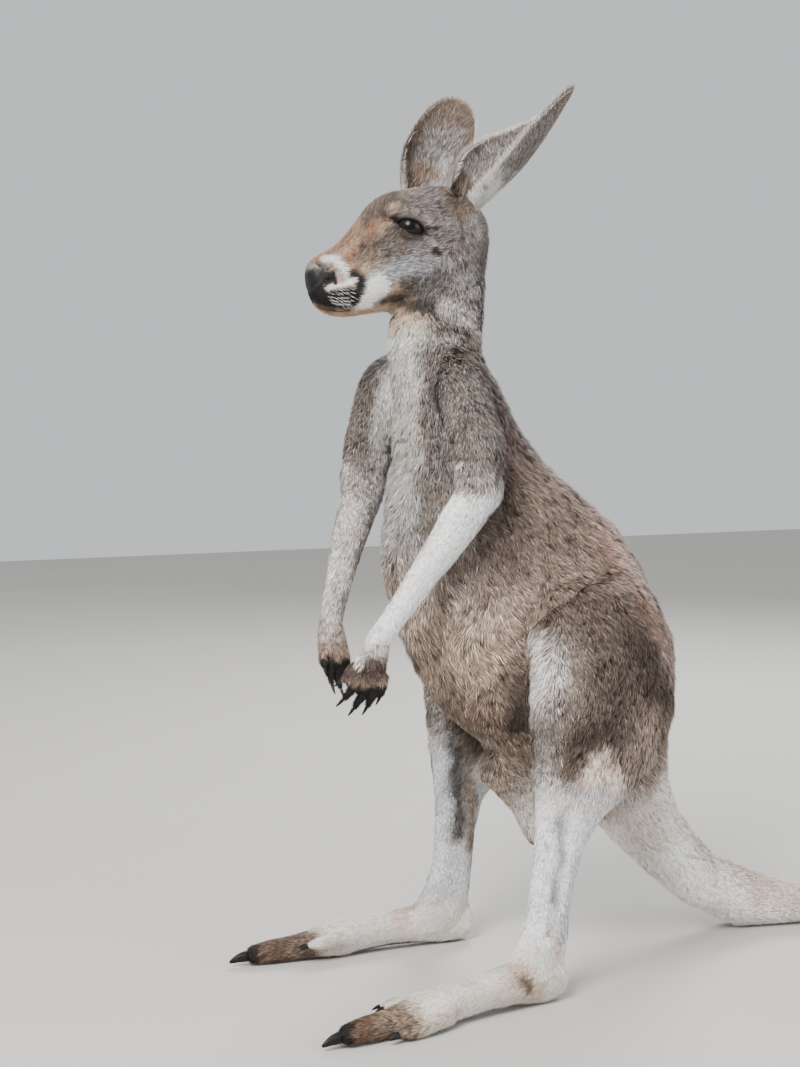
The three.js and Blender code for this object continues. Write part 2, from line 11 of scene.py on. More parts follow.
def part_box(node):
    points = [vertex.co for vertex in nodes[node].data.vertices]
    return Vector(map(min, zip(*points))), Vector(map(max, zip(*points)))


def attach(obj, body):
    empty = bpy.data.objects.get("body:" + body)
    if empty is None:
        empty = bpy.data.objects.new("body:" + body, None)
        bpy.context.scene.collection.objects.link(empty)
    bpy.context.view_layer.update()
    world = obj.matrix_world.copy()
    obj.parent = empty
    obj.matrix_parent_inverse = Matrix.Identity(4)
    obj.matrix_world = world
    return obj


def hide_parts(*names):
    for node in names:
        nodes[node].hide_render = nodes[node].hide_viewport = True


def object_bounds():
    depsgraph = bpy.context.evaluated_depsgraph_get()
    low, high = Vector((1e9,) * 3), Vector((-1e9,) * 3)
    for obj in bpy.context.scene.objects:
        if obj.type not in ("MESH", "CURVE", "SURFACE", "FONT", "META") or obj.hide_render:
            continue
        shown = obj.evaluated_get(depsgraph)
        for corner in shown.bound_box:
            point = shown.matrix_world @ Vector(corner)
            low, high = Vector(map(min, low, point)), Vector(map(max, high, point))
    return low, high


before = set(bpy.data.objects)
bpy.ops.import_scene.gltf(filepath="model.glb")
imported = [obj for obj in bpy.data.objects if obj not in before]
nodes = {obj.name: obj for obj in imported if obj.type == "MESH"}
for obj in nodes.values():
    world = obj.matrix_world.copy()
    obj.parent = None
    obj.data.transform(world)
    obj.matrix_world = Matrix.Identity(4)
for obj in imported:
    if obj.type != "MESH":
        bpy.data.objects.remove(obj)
cad_low, cad_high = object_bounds()
chance = np.random.default_rng(11)

# ---- sizes and places ----
MM = 0.001
ORIGIN = np.array([3.172, 281.148, 0.0])  # the row's origin in the millimetres of the tables below
HEAD_TURN = math.radians(8)  # the head looks a little to the animal's right
HEAD_PIVOT = np.array([0.0, -100.0, 0.0])
SIDES = {"left": 1, "right": -1}


def placed(points):
    """Places in the tables' millimetres, as metres in the row's frame."""
    return (np.asarray(points, float) - ORIGIN) * MM


def in_table(places):
    """Places of the row, in the tables' millimetres."""
    return np.asarray(places) / MM + ORIGIN


def head_point(ahead, left, height):
    """A place on the head: ahead of its pivot, to the animal's left, and above the floor, in mm."""
    sine, cosine = math.sin(HEAD_TURN), math.cos(HEAD_TURN)
    x = HEAD_PIVOT[0] - sine * ahead + cosine * left
    y = HEAD_PIVOT[1] - cosine * ahead - sine * left
    return (x, y, height)


def head_places(places):
    """Places of the row as ahead, left and height on the head, in mm: head_point the other way round."""
    x, y, height = (in_table(places) - HEAD_PIVOT).T
    sine, cosine = math.sin(HEAD_TURN), math.cos(HEAD_TURN)
    return np.stack([-sine * x - cosine * y, cosine * x - sine * y, height], axis=1)


def half_head_places(places):
    """The same with the right half of the head laid on its left one."""
    spots = head_places(places)
    spots[:, 1] = np.abs(spots[:, 1])
    return spots


def head_direction(ahead, left, up):
    """A unit vector given in the head's own directions."""
    vector = np.array(head_point(ahead, left, up)) - np.array(head_point(0, 0, 0))
    return vector / np.linalg.norm(vector)


def on_head(line, side=1):
    """A line given as ahead, left and height on the head, on one side of it."""
    return [head_point(ahead, side * left, height) for ahead, left, height in line]


def to_side(line, side):
    """A line of the animal's left side, laid on either side."""
    return [(side * x, y, z) for x, y, z in line]


# Each flesh node: depth of coat over the skin, mm.
COAT_DEPTH = {
    "head": 3.2, "neck": 9, "trunk": 11, "tail_base": 8, "tail_middle": 5, "tail_end": 3.5,
    "upper_arm": 7, "forearm": 3, "hand": 0.9, "thigh": 9, "shin": 3, "foot": 2.3, "ear": 0.3,
}
BARE_DEPTH = {"nose_pad": 1.2, "eye": 1.0}


def kind_of(node):
    """The node's name without its side."""
    return node.split("_", 1)[1] if node.split("_")[0] in SIDES else node


FLESH = sorted(name for name in nodes if kind_of(name) in COAT_DEPTH)


def share_of(shares, *names):
    """How much each point belongs to some of the nodes."""
    return shares[:, [FLESH.index(name) for name in names]].sum(axis=1)


# ---- fields of distance ----
class Field:
    """Distances to a surface, below zero inside it, on a block of voxels."""

    def __init__(self, low, high, voxel, band):
        self.voxel = voxel
        self.band = band
        self.first = np.floor(np.asarray(low) / voxel).astype(int)
        last = np.ceil(np.asarray(high) / voxel).astype(int)
        self.shape = tuple(int(n) for n in last - self.first + 1)
        self.whole = tuple(slice(0, n) for n in self.shape)
        self.values = np.full(self.shape, band, np.float32)
        self.transform = openvdb.createLinearTransform(voxelSize=voxel)

    def part(self, low, high):
        """The slices of the voxels between two corners."""
        start = np.floor(np.asarray(low) / self.voxel).astype(int) - self.first
        stop = np.ceil(np.asarray(high) / self.voxel).astype(int) - self.first + 1
        start = np.clip(start, 0, self.shape)
        stop = np.clip(stop, start, self.shape)
        return tuple(slice(int(a), int(b)) for a, b in zip(start, stop))

    def places(self, part):
        """The places of the voxels in those slices, as three arrays that broadcast."""
        axes = [np.arange(s.start, s.stop) + self.first[i] for i, s in enumerate(part)]
        return np.meshgrid(*[axis * self.voxel for axis in axes], indexing="ij", sparse=True)

    def bell(self, part, middle, reach):
        """1 at a place of the tables, and less round it by a bell of that reach in mm."""
        square = sum((axis - place) ** 2 for axis, place in zip(self.places(part), placed(middle)))
        return np.exp(-square / (reach * MM) ** 2)

    def distances(self, points, triangles, part, quads=None):
        """The distances to a closed surface in those slices."""
        grid = openvdb.FloatGrid.createLevelSetFromPolygons(
            np.ascontiguousarray(points, np.float32),
            triangles=np.ascontiguousarray(triangles, np.uint32),
            quads=quads,
            transform=self.transform,
            halfWidth=self.band / self.voxel,
        )
        values = np.empty([s.stop - s.start for s in part], np.float32)
        grid.copyToArray(values, ijk=tuple(int(self.first[i] + s.start) for i, s in enumerate(part)))
        return values

    def polygons(self, adaptivity=0.0):
        """(points, triangles, quads) of the surface, facing out."""
        grid = openvdb.FloatGrid(self.band)
        grid.gridClass = openvdb.GridClass.LEVEL_SET
        grid.transform = self.transform
        values = np.clip(self.values, -self.band, self.band)
        grid.copyFromArray(values, ijk=tuple(int(i) for i in self.first))
        points, triangles, quads = grid.convertToPolygons(0, adaptivity)
        return points, triangles[:, ::-1], quads[:, ::-1]

    def at(self, points):
        """The distance at each point, read between the voxels."""
        spot = points / self.voxel - self.first
        spot = np.clip(spot, 0, np.array(self.shape) - 1.001)
        cell = spot.astype(int)
        share = spot - cell
        total = np.zeros(len(points))
        for corner in np.ndindex(2, 2, 2):
            weight = np.ones(len(points))
            for axis, high in enumerate(corner):
                weight *= share[:, axis] if high else 1 - share[:, axis]
            i, j, k = (cell + corner).T
            total += weight * self.values[i, j, k]
        return total

    def slope(self, points):
        """The way out of the surface at each point."""
        steps = np.eye(3) * self.voxel
        out = np.stack([self.at(points + step) - self.at(points - step) for step in steps], axis=1)
        return out / np.maximum(np.linalg.norm(out, axis=1, keepdims=True), 1e-9)


def smooth_max(a, b, rounding):
    """The greater of two distances, with the edge where they meet rounded off."""
    mix = np.clip(0.5 + 0.5 * (a - b) / rounding, 0, 1)
    return b * (1 - mix) + a * mix + rounding * mix * (1 - mix)


def blurred(values, sigma):
    """values smoothed by a bell of that many voxels."""
    reach = int(math.ceil(2.5 * sigma))
    taps = np.exp(-0.5 * (np.arange(-reach, reach + 1) / sigma) ** 2)
    taps = (taps / taps.sum()).astype(np.float32)
    for axis in range(3):
        moved = np.moveaxis(values, axis, 0)
        padded = np.pad(moved, ((reach, reach), (0, 0), (0, 0)), mode="edge")
        total = taps[0] * padded[: len(moved)]
        for k in range(1, len(taps)):
            total += taps[k] * padded[k : k + len(moved)]
        values = np.moveaxis(total, 0, axis)
    return np.ascontiguousarray(values)


def outer_faces(count, quads):
    """The quads of the largest connected surface, without any bubbles left inside the body."""
    label = np.arange(count)
    while True:
        least = label[quads].min(axis=1)
        new = label.copy()
        for corner in range(4):
            np.minimum.at(new, quads[:, corner], least)
        new = new[new]
        if (new == label).all():
            break
        label = new
    found, sizes = np.unique(label[quads[:, 0]], return_counts=True)
    return quads[label[quads[:, 0]] == found[sizes.argmax()]]


def solid_of(name):
    """(points, triangles) of a CAD node."""
    mesh = nodes[name].data
    mesh.calc_loop_triangles()
    points = np.empty(len(mesh.vertices) * 3, np.float32)
    mesh.vertices.foreach_get("co", points)
    triangles = np.empty(len(mesh.loop_triangles) * 3, np.int32)
    mesh.loop_triangles.foreach_get("vertices", triangles)
    return points.reshape(-1, 3), triangles.reshape(-1, 3)


def node_box(name, margin):
    low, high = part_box(name)
    return np.array(low) - margin, np.array(high) + margin


MERGE = 1.2 * MM  # the solids are swollen by this to close the cuts between them
BLEND = 12 * MM  # how far the coat's depth runs from one node into the next
EYE_SOCKETS = on_head([(53, 46, 854), (53, -46, 854)])
TOE_TIPS = [(137, -300, 13), (-153, -276, 13)]
# Places where the coat is thinner than round them: middle, reach, depth.
THIN_COATS = [
    ((0, 14, 215), 60, 4),
    ((0, 26, 150), 30, 3),
    *[(socket, 20, 1.2) for socket in EYE_SOCKETS],
    (head_point(160, 0, 800), 26, 1.4),
    *[(tip, 12, 0.4) for tip in TOE_TIPS],
]


def joined_field(names, low, high, voxel, band, smooth):
    """The outline of some nodes as one body, smoothed, with the skin set in by the depth of the coat."""
    field = Field(low, high, voxel, band)
    weight = np.zeros(field.shape, np.float32)
    depth = np.zeros(field.shape, np.float32)
    for name in names:
        points, triangles = solid_of(name)
        part = field.part(points.min(0) - band, points.max(0) + band)
        if min(s.stop - s.start for s in part) == 0:
            continue
        found = field.distances(points, triangles, part)
        field.values[part] = np.minimum(field.values[part], found)
        near = np.exp(-np.maximum(found, 0) / BLEND) - math.exp(-band / BLEND)
        weight[part] += near
        depth[part] += near * (COAT_DEPTH | BARE_DEPTH)[kind_of(name)] * MM
    field.values -= MERGE
    points, triangles, quads = field.polygons()
    quads = np.ascontiguousarray(outer_faces(len(points), quads))
    field.values = field.distances(points, triangles, field.whole, quads=quads) + MERGE
    field.values = blurred(field.values, smooth / voxel)
    depth = depth / np.maximum(weight, 1e-4)
    for middle, reach, thin in THIN_COATS:
        depth += field.bell(field.whole, middle, reach) * np.minimum(thin * MM - depth, 0)
    field.values += depth
    return field


# ---- forms of the skin ----
def swell(field, centre, reach, rise):
    """Raises the surface (or sinks it, below zero) round a place, in mm."""
    margin = 2.5 * reach * MM
    part = field.part(placed(centre) - margin, placed(centre) + margin)
    field.values[part] -= rise * MM * field.bell(part, centre, reach)


def distance_to_line(x, y, z, line):
    """The least distance of each place from a line of points."""
    least = np.inf
    for start, end in zip(line[:-1], line[1:]):
        along = end - start
        offset = [axis - place for axis, place in zip((x, y, z), start)]
        share = sum(part * step for part, step in zip(offset, along)) / (along @ along)
        share = np.clip(share, 0, 1)
        square = sum((part - share * step) ** 2 for part, step in zip(offset, along))
        least = np.minimum(least, square)
    return np.sqrt(least)


def furrow(field, line, radius, depth):
    """A groove along a line, or a ridge with a depth below zero, in mm."""
    line = placed(line)
    margin = 3 * radius * MM
    part = field.part(line.min(0) - margin, line.max(0) + margin)
    away = distance_to_line(*field.places(part), line)
    field.values[part] += depth * MM * np.exp(-((away / (radius * MM)) ** 2))


def clip(field, part, point, normal):
    """Cuts the body off in some slices, a little past a plane on the side that its normal points to."""
    normal = np.asarray(normal, float)
    normal = normal / np.linalg.norm(normal)
    side = sum((axis - place) * way for axis, place, way in zip(field.places(part), placed(point), normal))
    cut = (side - OVERLAP * MM).astype(np.float32)
    field.values[part] = np.maximum(field.values[part], cut)


# ---- eyes ----
EYE_RADIUS = 16
EYE_AT = (53, 33.5, 854)
EYE_LOOK = (0.34, 0.93, 0.12)  # ahead, left and up, on the left side
EYE_BACK = (-0.93, 0.34, -0.08)  # from its inner corner to its outer one
LID_THICKNESS = 2.0
EYE_CORNER = math.radians(68)  # from the middle of the opening to either corner, from the ball's centre
LID_OPEN = math.radians(25)  # how far each lid stands open over or under the line between the corners
UPPER_CURVE, LOWER_CURVE = 2.4, 1.9  # powers of the lids' curves: more is squarer at the corners
CORNER_LINE = (-0.08, -0.2)  # height of that line, and how fast it falls towards the back
# Folds that follow the lids: how far outside the opening (radians), how wide, and how deep (mm).
UPPER_CREASES = [(0.34, 0.09, 1.1), (0.16, 0.1, -0.9), (0.52, 0.13, -0.8)]
LOWER_CREASES = [(0.3, 0.08, 0.8), (0.15, 0.09, -0.6), (0.5, 0.1, 0.4)]


def eye_axes(side):
    """Where an eye looks, the way from its inner corner to its outer one, and its up."""
    look = head_direction(EYE_LOOK[0], EYE_LOOK[1] * side, EYE_LOOK[2])
    back = head_direction(EYE_BACK[0], EYE_BACK[1] * side, EYE_BACK[2])
    up = np.cross(look, back)
    up = up / np.linalg.norm(up)
    up = up if up[2] > 0 else -up
    back = np.cross(up, look)
    back = back if back[1] > 0 else -back
    return look, back, up


def eye_centre(side):
    return placed(on_head([EYE_AT], side)[0])


def seen_from_eye(x, y, z, side):
    """Places round an eye: how far from its centre and ahead of it, and their angles back and up."""
    offset = [axis - place for axis, place in zip((x, y, z), eye_centre(side))]
    away = np.sqrt(sum(part**2 for part in offset)) + 1e-9
    ahead, back, up = (sum(part * way for part, way in zip(offset, axis)) for axis in eye_axes(side))
    across = np.arctan2(back, np.maximum(ahead, 1e-6))
    height = np.arcsin(np.clip(up / away, -1, 1))
    return away, ahead, across, height


def corner_height(across):
    """The height of the line between the corners of the lids."""
    return CORNER_LINE[0] + CORNER_LINE[1] * across


def lid_opening(across, height):
    """How far inside the opening between the lids a direction lies, in radians; below zero on the lids."""
    share = np.clip(np.abs(across / EYE_CORNER), 0, 3)
    over = height - corner_height(across)
    upper = LID_OPEN * (1 - share**UPPER_CURVE) - over
    lower = LID_OPEN * (1 - share**LOWER_CURVE) + over
    return np.minimum(upper, lower)


def round_eye(places, side):
    """Which places lie round an eye, and how far inside the opening between its lids."""
    away, ahead, across, height = seen_from_eye(*places.T, side)
    near = (away < (EYE_RADIUS + 9) * MM) & (ahead > -2 * MM)
    return near, lid_opening(across, height)


def shape_eye(field, side):
    """Room for the eyeball, lids that close over it, and the creases that follow them."""
    radius = EYE_RADIUS * MM
    reach = radius + 14 * MM
    centre = eye_centre(side)
    part = field.part(centre - reach, centre + reach)
    away, ahead, across, height = seen_from_eye(*field.places(part), side)
    opening = lid_opening(across, height)
    fade = np.exp(-((np.maximum(away - radius - 2 * MM, 0) / (7 * MM)) ** 2)) * (ahead > 0)
    skin = field.values[part]
    over = height > corner_height(across)
    for creases, on_lid in ((UPPER_CREASES, over), (LOWER_CREASES, ~over)):
        for middle, width, depth in creases:
            skin = skin + depth * MM * fade * on_lid * np.exp(-(((opening + middle) / width) ** 2))
    bevel = 0.35 * np.maximum(away - radius, 0)
    cut = np.where(ahead > 0, opening * radius + bevel, -field.band)
    skin = smooth_max(skin, cut, 1.6 * MM)
    half = LID_THICKNESS / 2 * MM
    shell = np.abs(away - radius - 0.3 * MM - half) - half
    lid = np.where(ahead > 0, smooth_max(shell, opening * radius, 0.8 * MM), field.band)
    skin = -smooth_max(-skin, -lid, 2.0 * MM)
    field.values[part] = np.maximum(skin, radius + 0.25 * MM - away)


def ring_quads(rings, around):
    """The quads between rings of points that follow each other."""
    ring, turn = np.meshgrid(np.arange(rings - 1), np.arange(around), indexing="ij")
    here, ahead = (ring * around).ravel(), ((ring + 1) * around).ravel()
    turn = turn.ravel()
    after = (turn + 1) % around
    return np.stack([here + turn, here + after, ahead + after, ahead + turn], 1)


def outward(points, quads):
    """The quads, turned round if they look inwards."""
    a, b, c, d = (points[quads[:, i]] for i in range(4))
    volume = (np.cross(a, b) * c).sum() + (np.cross(a, c) * d).sum()
    return quads if volume > 0 else quads[:, ::-1]


def eyeball(side):
    """(points, quads, colours) of an eye: a ball with a clearer bulge before its iris."""
    rings, turns = 72, 56
    look, back, up = eye_axes(side)
    angle = np.linspace(0.004, np.pi - 0.004, rings)[:, None]
    turn = np.linspace(0, 2 * np.pi, turns, endpoint=False)[None, :]
    bulge = 0.45 * np.exp(-((angle / 0.5) ** 2)) - 0.15
    radius = (EYE_RADIUS + bulge) * MM
    along = np.cos(angle) * np.ones_like(turn)
    flat = np.sin(angle) * np.cos(turn)
    tall = np.sin(angle) * np.sin(turn)
    points = (along[..., None] * look + flat[..., None] * back + tall[..., None] * up) * radius[..., None]
    points = points.reshape(-1, 3) + eye_centre(side)
    quads = ring_quads(rings, turns)
    return points, outward(points, quads), eye_colours(flat.ravel(), tall.ravel())


def eye_colours(flat, tall):
    """The eye's colours from the middle of the pupil out, across and up in shares of its radius."""
    away = np.hypot(flat, tall)
    turn = np.arctan2(tall, flat)
    rays = 0.5 * np.sin(23 * turn) + 0.5 * np.sin(61 * turn)
    iris = srgb(20, 14, 10) * (1 + 0.18 * rays[:, None] * (away[:, None] > 0.3))
    pupil = np.hypot(flat / 0.42, tall / 0.3)
    colours = iris * smooth_step(pupil, 0.85, 1.1)[:, None] + srgb(6, 5, 5)
    colours = laid(colours, smooth_step(away, 0.62, 0.74), srgb(24, 17, 14))
    return laid(colours, smooth_step(away, 0.86, 0.97), srgb(96, 72, 58))


# ---- head, hands and feet ----
# Where the finer fields of the head, hands and feet take over: a point of the plane and the way to them.
OVERLAP = 2
JOINS = {
    "head": ((0, -172, 755), (0, -0.42, 0.91)),
    "left_hand": ((62, -217, 408), (-7, -11, -45)),
    "right_hand": ((-61, -213, 414), (7, 2, -42)),
    "left_foot": ((117, -60, 79), (0, -0.28, -0.96)),
    "right_foot": ((-117, -46, 79), (0, -0.28, -0.96)),
}
# voxel, band, smoothing: mm. neighbours: nodes that the piece of skin runs on into.
SHELLS = {
    "head": {
        "voxel": 1.1, "band": 15, "smooth": 2.4,
        "neighbours": ["neck", "trunk", "nose_pad", "left_eye", "right_eye"],
    },
    "hand": {"voxel": 1.1, "band": 8, "smooth": 1.1, "neighbours": ["forearm"]},
    "foot": {"voxel": 1.6, "band": 10, "smooth": 2.0, "neighbours": ["shin"]},
    "body": {"voxel": 2.8, "band": 22, "smooth": 3.6},
}
# Grooves of the skin, and ridges with a depth below zero, on both sides: name, radius, depth, line; mm.
HEAD_FOLDS = [
    ("mouth", 1.6, 2.6,
     [(154, 3, 767), (147, 8, 765), (137, 10, 764), (124, 12, 764), (112, 16, 766), (101, 20, 772)]),
    ("lower lip", 3.2, -1.0, [(150, 4, 760), (138, 8, 758), (120, 11, 759), (108, 14, 762)]),
    ("edge of the whisker pad", 2.6, 1.0, [(112, 18, 770), (109, 23, 781), (111, 25, 792), (119, 25, 800)]),
    ("behind the nostril", 3.0, 1.1, [(127, 21, 812), (124, 23, 803), (126, 23, 795)]),
    ("brow", 5.5, -1.6, [(79, 31, 874), (66, 35, 877), (52, 38, 875), (40, 41, 868), (32, 43, 860)]),
    ("over the brow", 4.5, 0.7, [(70, 28, 884), (54, 31, 886), (38, 35, 880)]),
    ("tear line", 1.7, 1.5, [(88, 26, 866), (82, 30, 864), (76, 33, 863)]),
    ("cheek bone", 9, -1.6, [(84, 34, 832), (62, 42, 826), (38, 46, 826)]),
    ("jaw", 5, 1.3, [(88, 20, 776), (62, 24, 776), (36, 33, 779)]),
]
BODY_FOLDS = [
    ("before the heel tendon", 7, 6.5, [(140, -23, 216), (136, -26, 172), (132, -31, 116), (133, -39, 76)]),
    ("inside of the tendon", 8, 2.6, [(96, -2, 205), (97, -10, 150), (98, -14, 100)]),
    ("fold of the flank", 9, 7, [(92, -52, 420), (98, -50, 385), (96, -56, 345), (84, -58, 300)]),
    ("crease before the haunch", 5, 3.5,
     [(87, 73, 477), (110, 26, 458), (122, -12, 442), (116, -34, 426), (100, -47, 409)]),
    ("mound over the front of the shoulder", 10, -4.5,
     [(42, -126, 712), (43, -128, 696), (48, -130, 678), (58, -130, 660), (68, -130, 640)]),
    ("under the shoulder", 11, 2.5, [(84, -96, 600), (88, -88, 575), (86, -80, 545)]),
]
# Mounds and hollows of the head's skin, on both sides: name, middle, reach and height; mm.
HEAD_MOUNDS = [
    ("brow tuft", (75, 30, 873), 5.5, 4.6),
    ("before the brow tuft", (84, 26, 870), 5, -1.4),
    ("whisker pad", (132, 17, 777), 11, 1.3),
    ("tear hollow", (86, 30, 852), 8, -1.4),
    ("nostril wing", (139, 17, 812), 7, 1.0),
    ("temple", (14, 40, 866), 13, -1.4),
]
NOSTRIL = [(139, 16.5, 806), (136.5, 19.5, 803), (134.5, 21, 798), (135, 21.5, 792)]
NOSTRIL_SLIT = [(146, 17.5, 797), (141, 19.5, 797), (136, 21, 799)]
NOSE_CLEFT = [(166, 0, 798), (163, 0, 785), (156, 0, 772)]
NOSE_AT = (146, 0, 801)
NOSE_RADII = np.array([22, 19, 19])
NOSE_RISE = 0.8  # how proud the pad stands of the skin round it


def shape_face(field):
    """The folds and mounds of the face, the nostrils and the lids."""
    for side in SIDES.values():
        for _, radius, depth, line in HEAD_FOLDS:
            furrow(field, on_head(line, side), radius, depth)
        for _, middle, reach, rise in HEAD_MOUNDS:
            swell(field, *on_head([middle], side), reach, rise)
        shape_nostril(field, side)
        shape_eye(field, side)


def shape_nostril(field, side):
    """The comma of a nostril, its raised rim, and the slit that runs forward from it."""
    furrow(field, on_head(NOSTRIL, side), 4.2, -1.3)
    furrow(field, on_head(NOSTRIL, side), 1.9, 6.5)
    furrow(field, on_head(NOSTRIL_SLIT, side), 1.5, 3.0)


def shape_body():
    """All the body's skin but the ears and, past the joins, the head, hands and feet."""
    size = SHELLS["body"]
    names = [name for name in FLESH if kind_of(name) != "ear"]
    band = size["band"] * MM
    low, high = np.array(cad_low) - band, np.array(cad_high) + band
    field = joined_field(names, low, high, size["voxel"] * MM, band, size["smooth"] * MM)
    for side in SIDES.values():
        for _, radius, depth, line in BODY_FOLDS:
            furrow(field, to_side(line, side), radius, depth)
    for name, (point, normal) in JOINS.items():
        clip(field, field.part(*node_box(name, 3 * MM)), point, normal)
    return field


def shape_end(name):
    """The head, a hand or a foot."""
    size = SHELLS[kind_of(name)]
    side = name.removesuffix(kind_of(name))
    neighbours = [near if near in nodes else side + near for near in size["neighbours"]]
    band = size["band"] * MM
    low, high = node_box(name, band)
    field = joined_field([name, *neighbours], low, high, size["voxel"] * MM, band, size["smooth"] * MM)
    point, normal = JOINS[name]
    clip(field, field.whole, point, -np.array(normal, float))
    return field


def nose_field(head):
    """The bare pad of the nose, a little proud of the skin round it."""
    middle = placed(head_point(*NOSE_AT))
    reach = (NOSE_RADII.max() + 4) * MM
    field = Field(middle - reach, middle + reach, 0.65 * MM, 5 * MM)
    points = np.stack([axis.ravel() for axis in np.broadcast_arrays(*field.places(field.whole))], axis=1)
    outline = head.at(points) - NOSE_RISE * MM
    spot = (head_places(points) - NOSE_AT) / NOSE_RADII
    pad = (np.linalg.norm(spot, axis=1) - 1) * NOSE_RADII.mean() * MM
    field.values = smooth_max(outline, pad, 1.5 * MM).reshape(field.shape).astype(np.float32)
    for side in SIDES.values():
        furrow(field, on_head(NOSTRIL_SLIT, side), 1.5, 2.5)
    furrow(field, on_head(NOSE_CLEFT), 1.3, 1.4)
    return field


# ---- ears ----
# An ear is a leaf rolled into a cup: at each station along it, its half width as a flat leaf, and the
# half angle in degrees that it is rolled through.
EAR_STATIONS = np.array([0, 0.12, 0.26, 0.42, 0.58, 0.74, 0.88, 0.96, 1])
EAR_THICKNESS = 2.6
EARS = {
    "left": {
        "root": (39, -97, 872),
        "tip": (80, 20, 1010),
        "opening": ((0.5, -0.7, 0.5), (-0.5, -0.6, 0.7)),
        "bow": 12,
        "width": np.array([35, 48, 58, 58, 49, 36, 20, 10, 2]),
        "roll": np.array([125, 115, 100, 86, 74, 60, 48, 40, 34]),
    },
    "right": {
        "root": (-42, -111, 873),
        "tip": (-62.5, -45, 1015),
        "opening": ((0.86, -0.5, 0.1), (0.86, -0.56, 0.1)),
        "bow": 4,
        "width": np.array([38, 48, 52, 49, 42.5, 34.5, 24.5, 13.5, 2.5]),
        "roll": np.array([125, 112, 92, 74, 60, 48, 38, 30, 24]),
    },
}


def smooth_between(x, xs, ys):
    """A smooth curve through the places given, by cubic pieces."""
    slopes = np.gradient(ys, xs)
    i = np.clip(np.searchsorted(xs, x) - 1, 0, len(xs) - 2)
    step = xs[i + 1] - xs[i]
    t = (x - xs[i]) / step
    start = (2 * t**3 - 3 * t**2 + 1) * ys[i] + (t**3 - 2 * t**2 + t) * step * slopes[i]
    end = (-2 * t**3 + 3 * t**2) * ys[i + 1] + (t**3 - t**2) * step * slopes[i + 1]
    return start + end


def ear_axis(ear):
    """(root, way to the tip, length) of an ear."""
    root, tip = (np.array(ear[key], float) for key in ("root", "tip"))
    length = np.linalg.norm(tip - root)
    return root, (tip - root) / length, length


def ear_section(ear, along):
    """(middle, way the hollow faces, way across, half angle, radius) of the leaf at shares of its length."""
    root, axis, length = ear_axis(ear)
    start, end = (np.array(way) for way in ear["opening"])
    facing = start + (end - start) * along[..., None]
    facing = facing - (facing @ axis)[..., None] * axis
    facing = facing / np.linalg.norm(facing, axis=-1, keepdims=True)
    roll = np.radians(smooth_between(along, EAR_STATIONS, ear["roll"]))
    radius = smooth_between(along, EAR_STATIONS, ear["width"]) / roll
    middle = root + axis * (length * along)[..., None]
    middle = middle - facing * (ear["bow"] * np.sin(np.pi * along))[..., None]
    return middle, facing, np.cross(axis, facing), roll, radius


def ear_leaf(ear, along, across, out):
    """A place on the ear, from its length and width shares; out is how far on its outer side, mm."""
    middle, facing, side, roll, radius = ear_section(ear, along)
    angle = across * roll
    reach = radius + out
    place = middle + side * (reach * np.sin(angle))[..., None]
    return place + facing * (radius - reach * np.cos(angle))[..., None]


def on_ear(name, places, normals):
    """For places on an ear: how far along and across its leaf, and whether on its hollow side."""
    ear = EARS[name]
    root, axis, length = ear_axis(ear)
    along = np.clip((in_table(places) - root) @ axis / length, 0, 1)
    middle, facing, side, roll, radius = ear_section(ear, along)
    reach = in_table(places) - middle - facing * radius[:, None]
    angle = np.arctan2((reach * side).sum(axis=1), -(reach * facing).sum(axis=1))
    hollow = (reach * normals).sum(axis=1) < 0
    return along, angle / roll, hollow


def ear_mesh(name):
    """(points, quads) of an ear, a closed leaf whose root lies in the head."""
    ear = EARS[name]
    steps, turns = 64, 34
    lengths = np.linspace(0.04, 1, steps) ** 0.95
    shares = np.sin(np.linspace(-np.pi / 2, np.pi / 2, turns))
    along, across = np.meshgrid(lengths, shares, indexing="ij")
    thick = EAR_THICKNESS * (1 - 0.5 * along) * (1 - 0.55 * across**2)
    fold = 0.9 * np.sin(across * 9) * np.sin(np.pi * np.clip(along * 1.3, 0, 1)) * (1 - across**2)
    outside = ear_leaf(ear, along, across, 0.35 * fold)
    inside = ear_leaf(ear, along, across, fold - thick)
    points = placed(np.concatenate([outside, inside[:, ::-1]], axis=1).reshape(-1, 3))
    around = 2 * turns
    half = np.arange(turns - 1)
    cap = np.stack([half, around - 1 - half, around - 2 - half, half + 1], 1)
    tip_cap = cap[:, ::-1] + (steps - 1) * around
    return points, outward(points, np.concatenate([ring_quads(steps, around), cap, tip_cap]))


# ---- the lie of the coat ----
SPINE_LINE = [
    *on_head([(165, 0, 802), (110, 0, 812), (55, 0, 838), (5, 0, 846)]),
    (0, -100, 815), (0, -108, 760), (0, -108, 700), (0, -95, 640), (0, -74, 570), (0, -35, 490),
    (0, 15, 410), (0, 60, 330), (0, 115, 255), (0, 155, 190), (0, 205, 130), (0, 265, 78),
    (2, 335, 36), (22, 400, 28), (54, 480, 24), (92, 570, 20), (130, 670, 16), (158, 770, 13),
    (172, 850, 10), (178, 890, 8),
]
ARM_LINES = {
    "left": [(46, -112, 730), (94, -112, 626), (108, -116, 573), (93, -158, 504), (62, -217, 408),
             (52, -232, 330)],
    "right": [(-50, -132, 732), (-93, -142, 628), (-105, -148, 570), (-90, -176, 502),
              (-61, -213, 414), (-50, -211, 335)],
}
LEG_LINE = [(70, 60, 500), (100, 55, 420), (108, 45, 330), (118, 5, 240), (119, -22, 190),
            (118, -28, 110), (117, -38, 62), (118, -75, 42), (121, -160, 32), (128, -310, 14)]


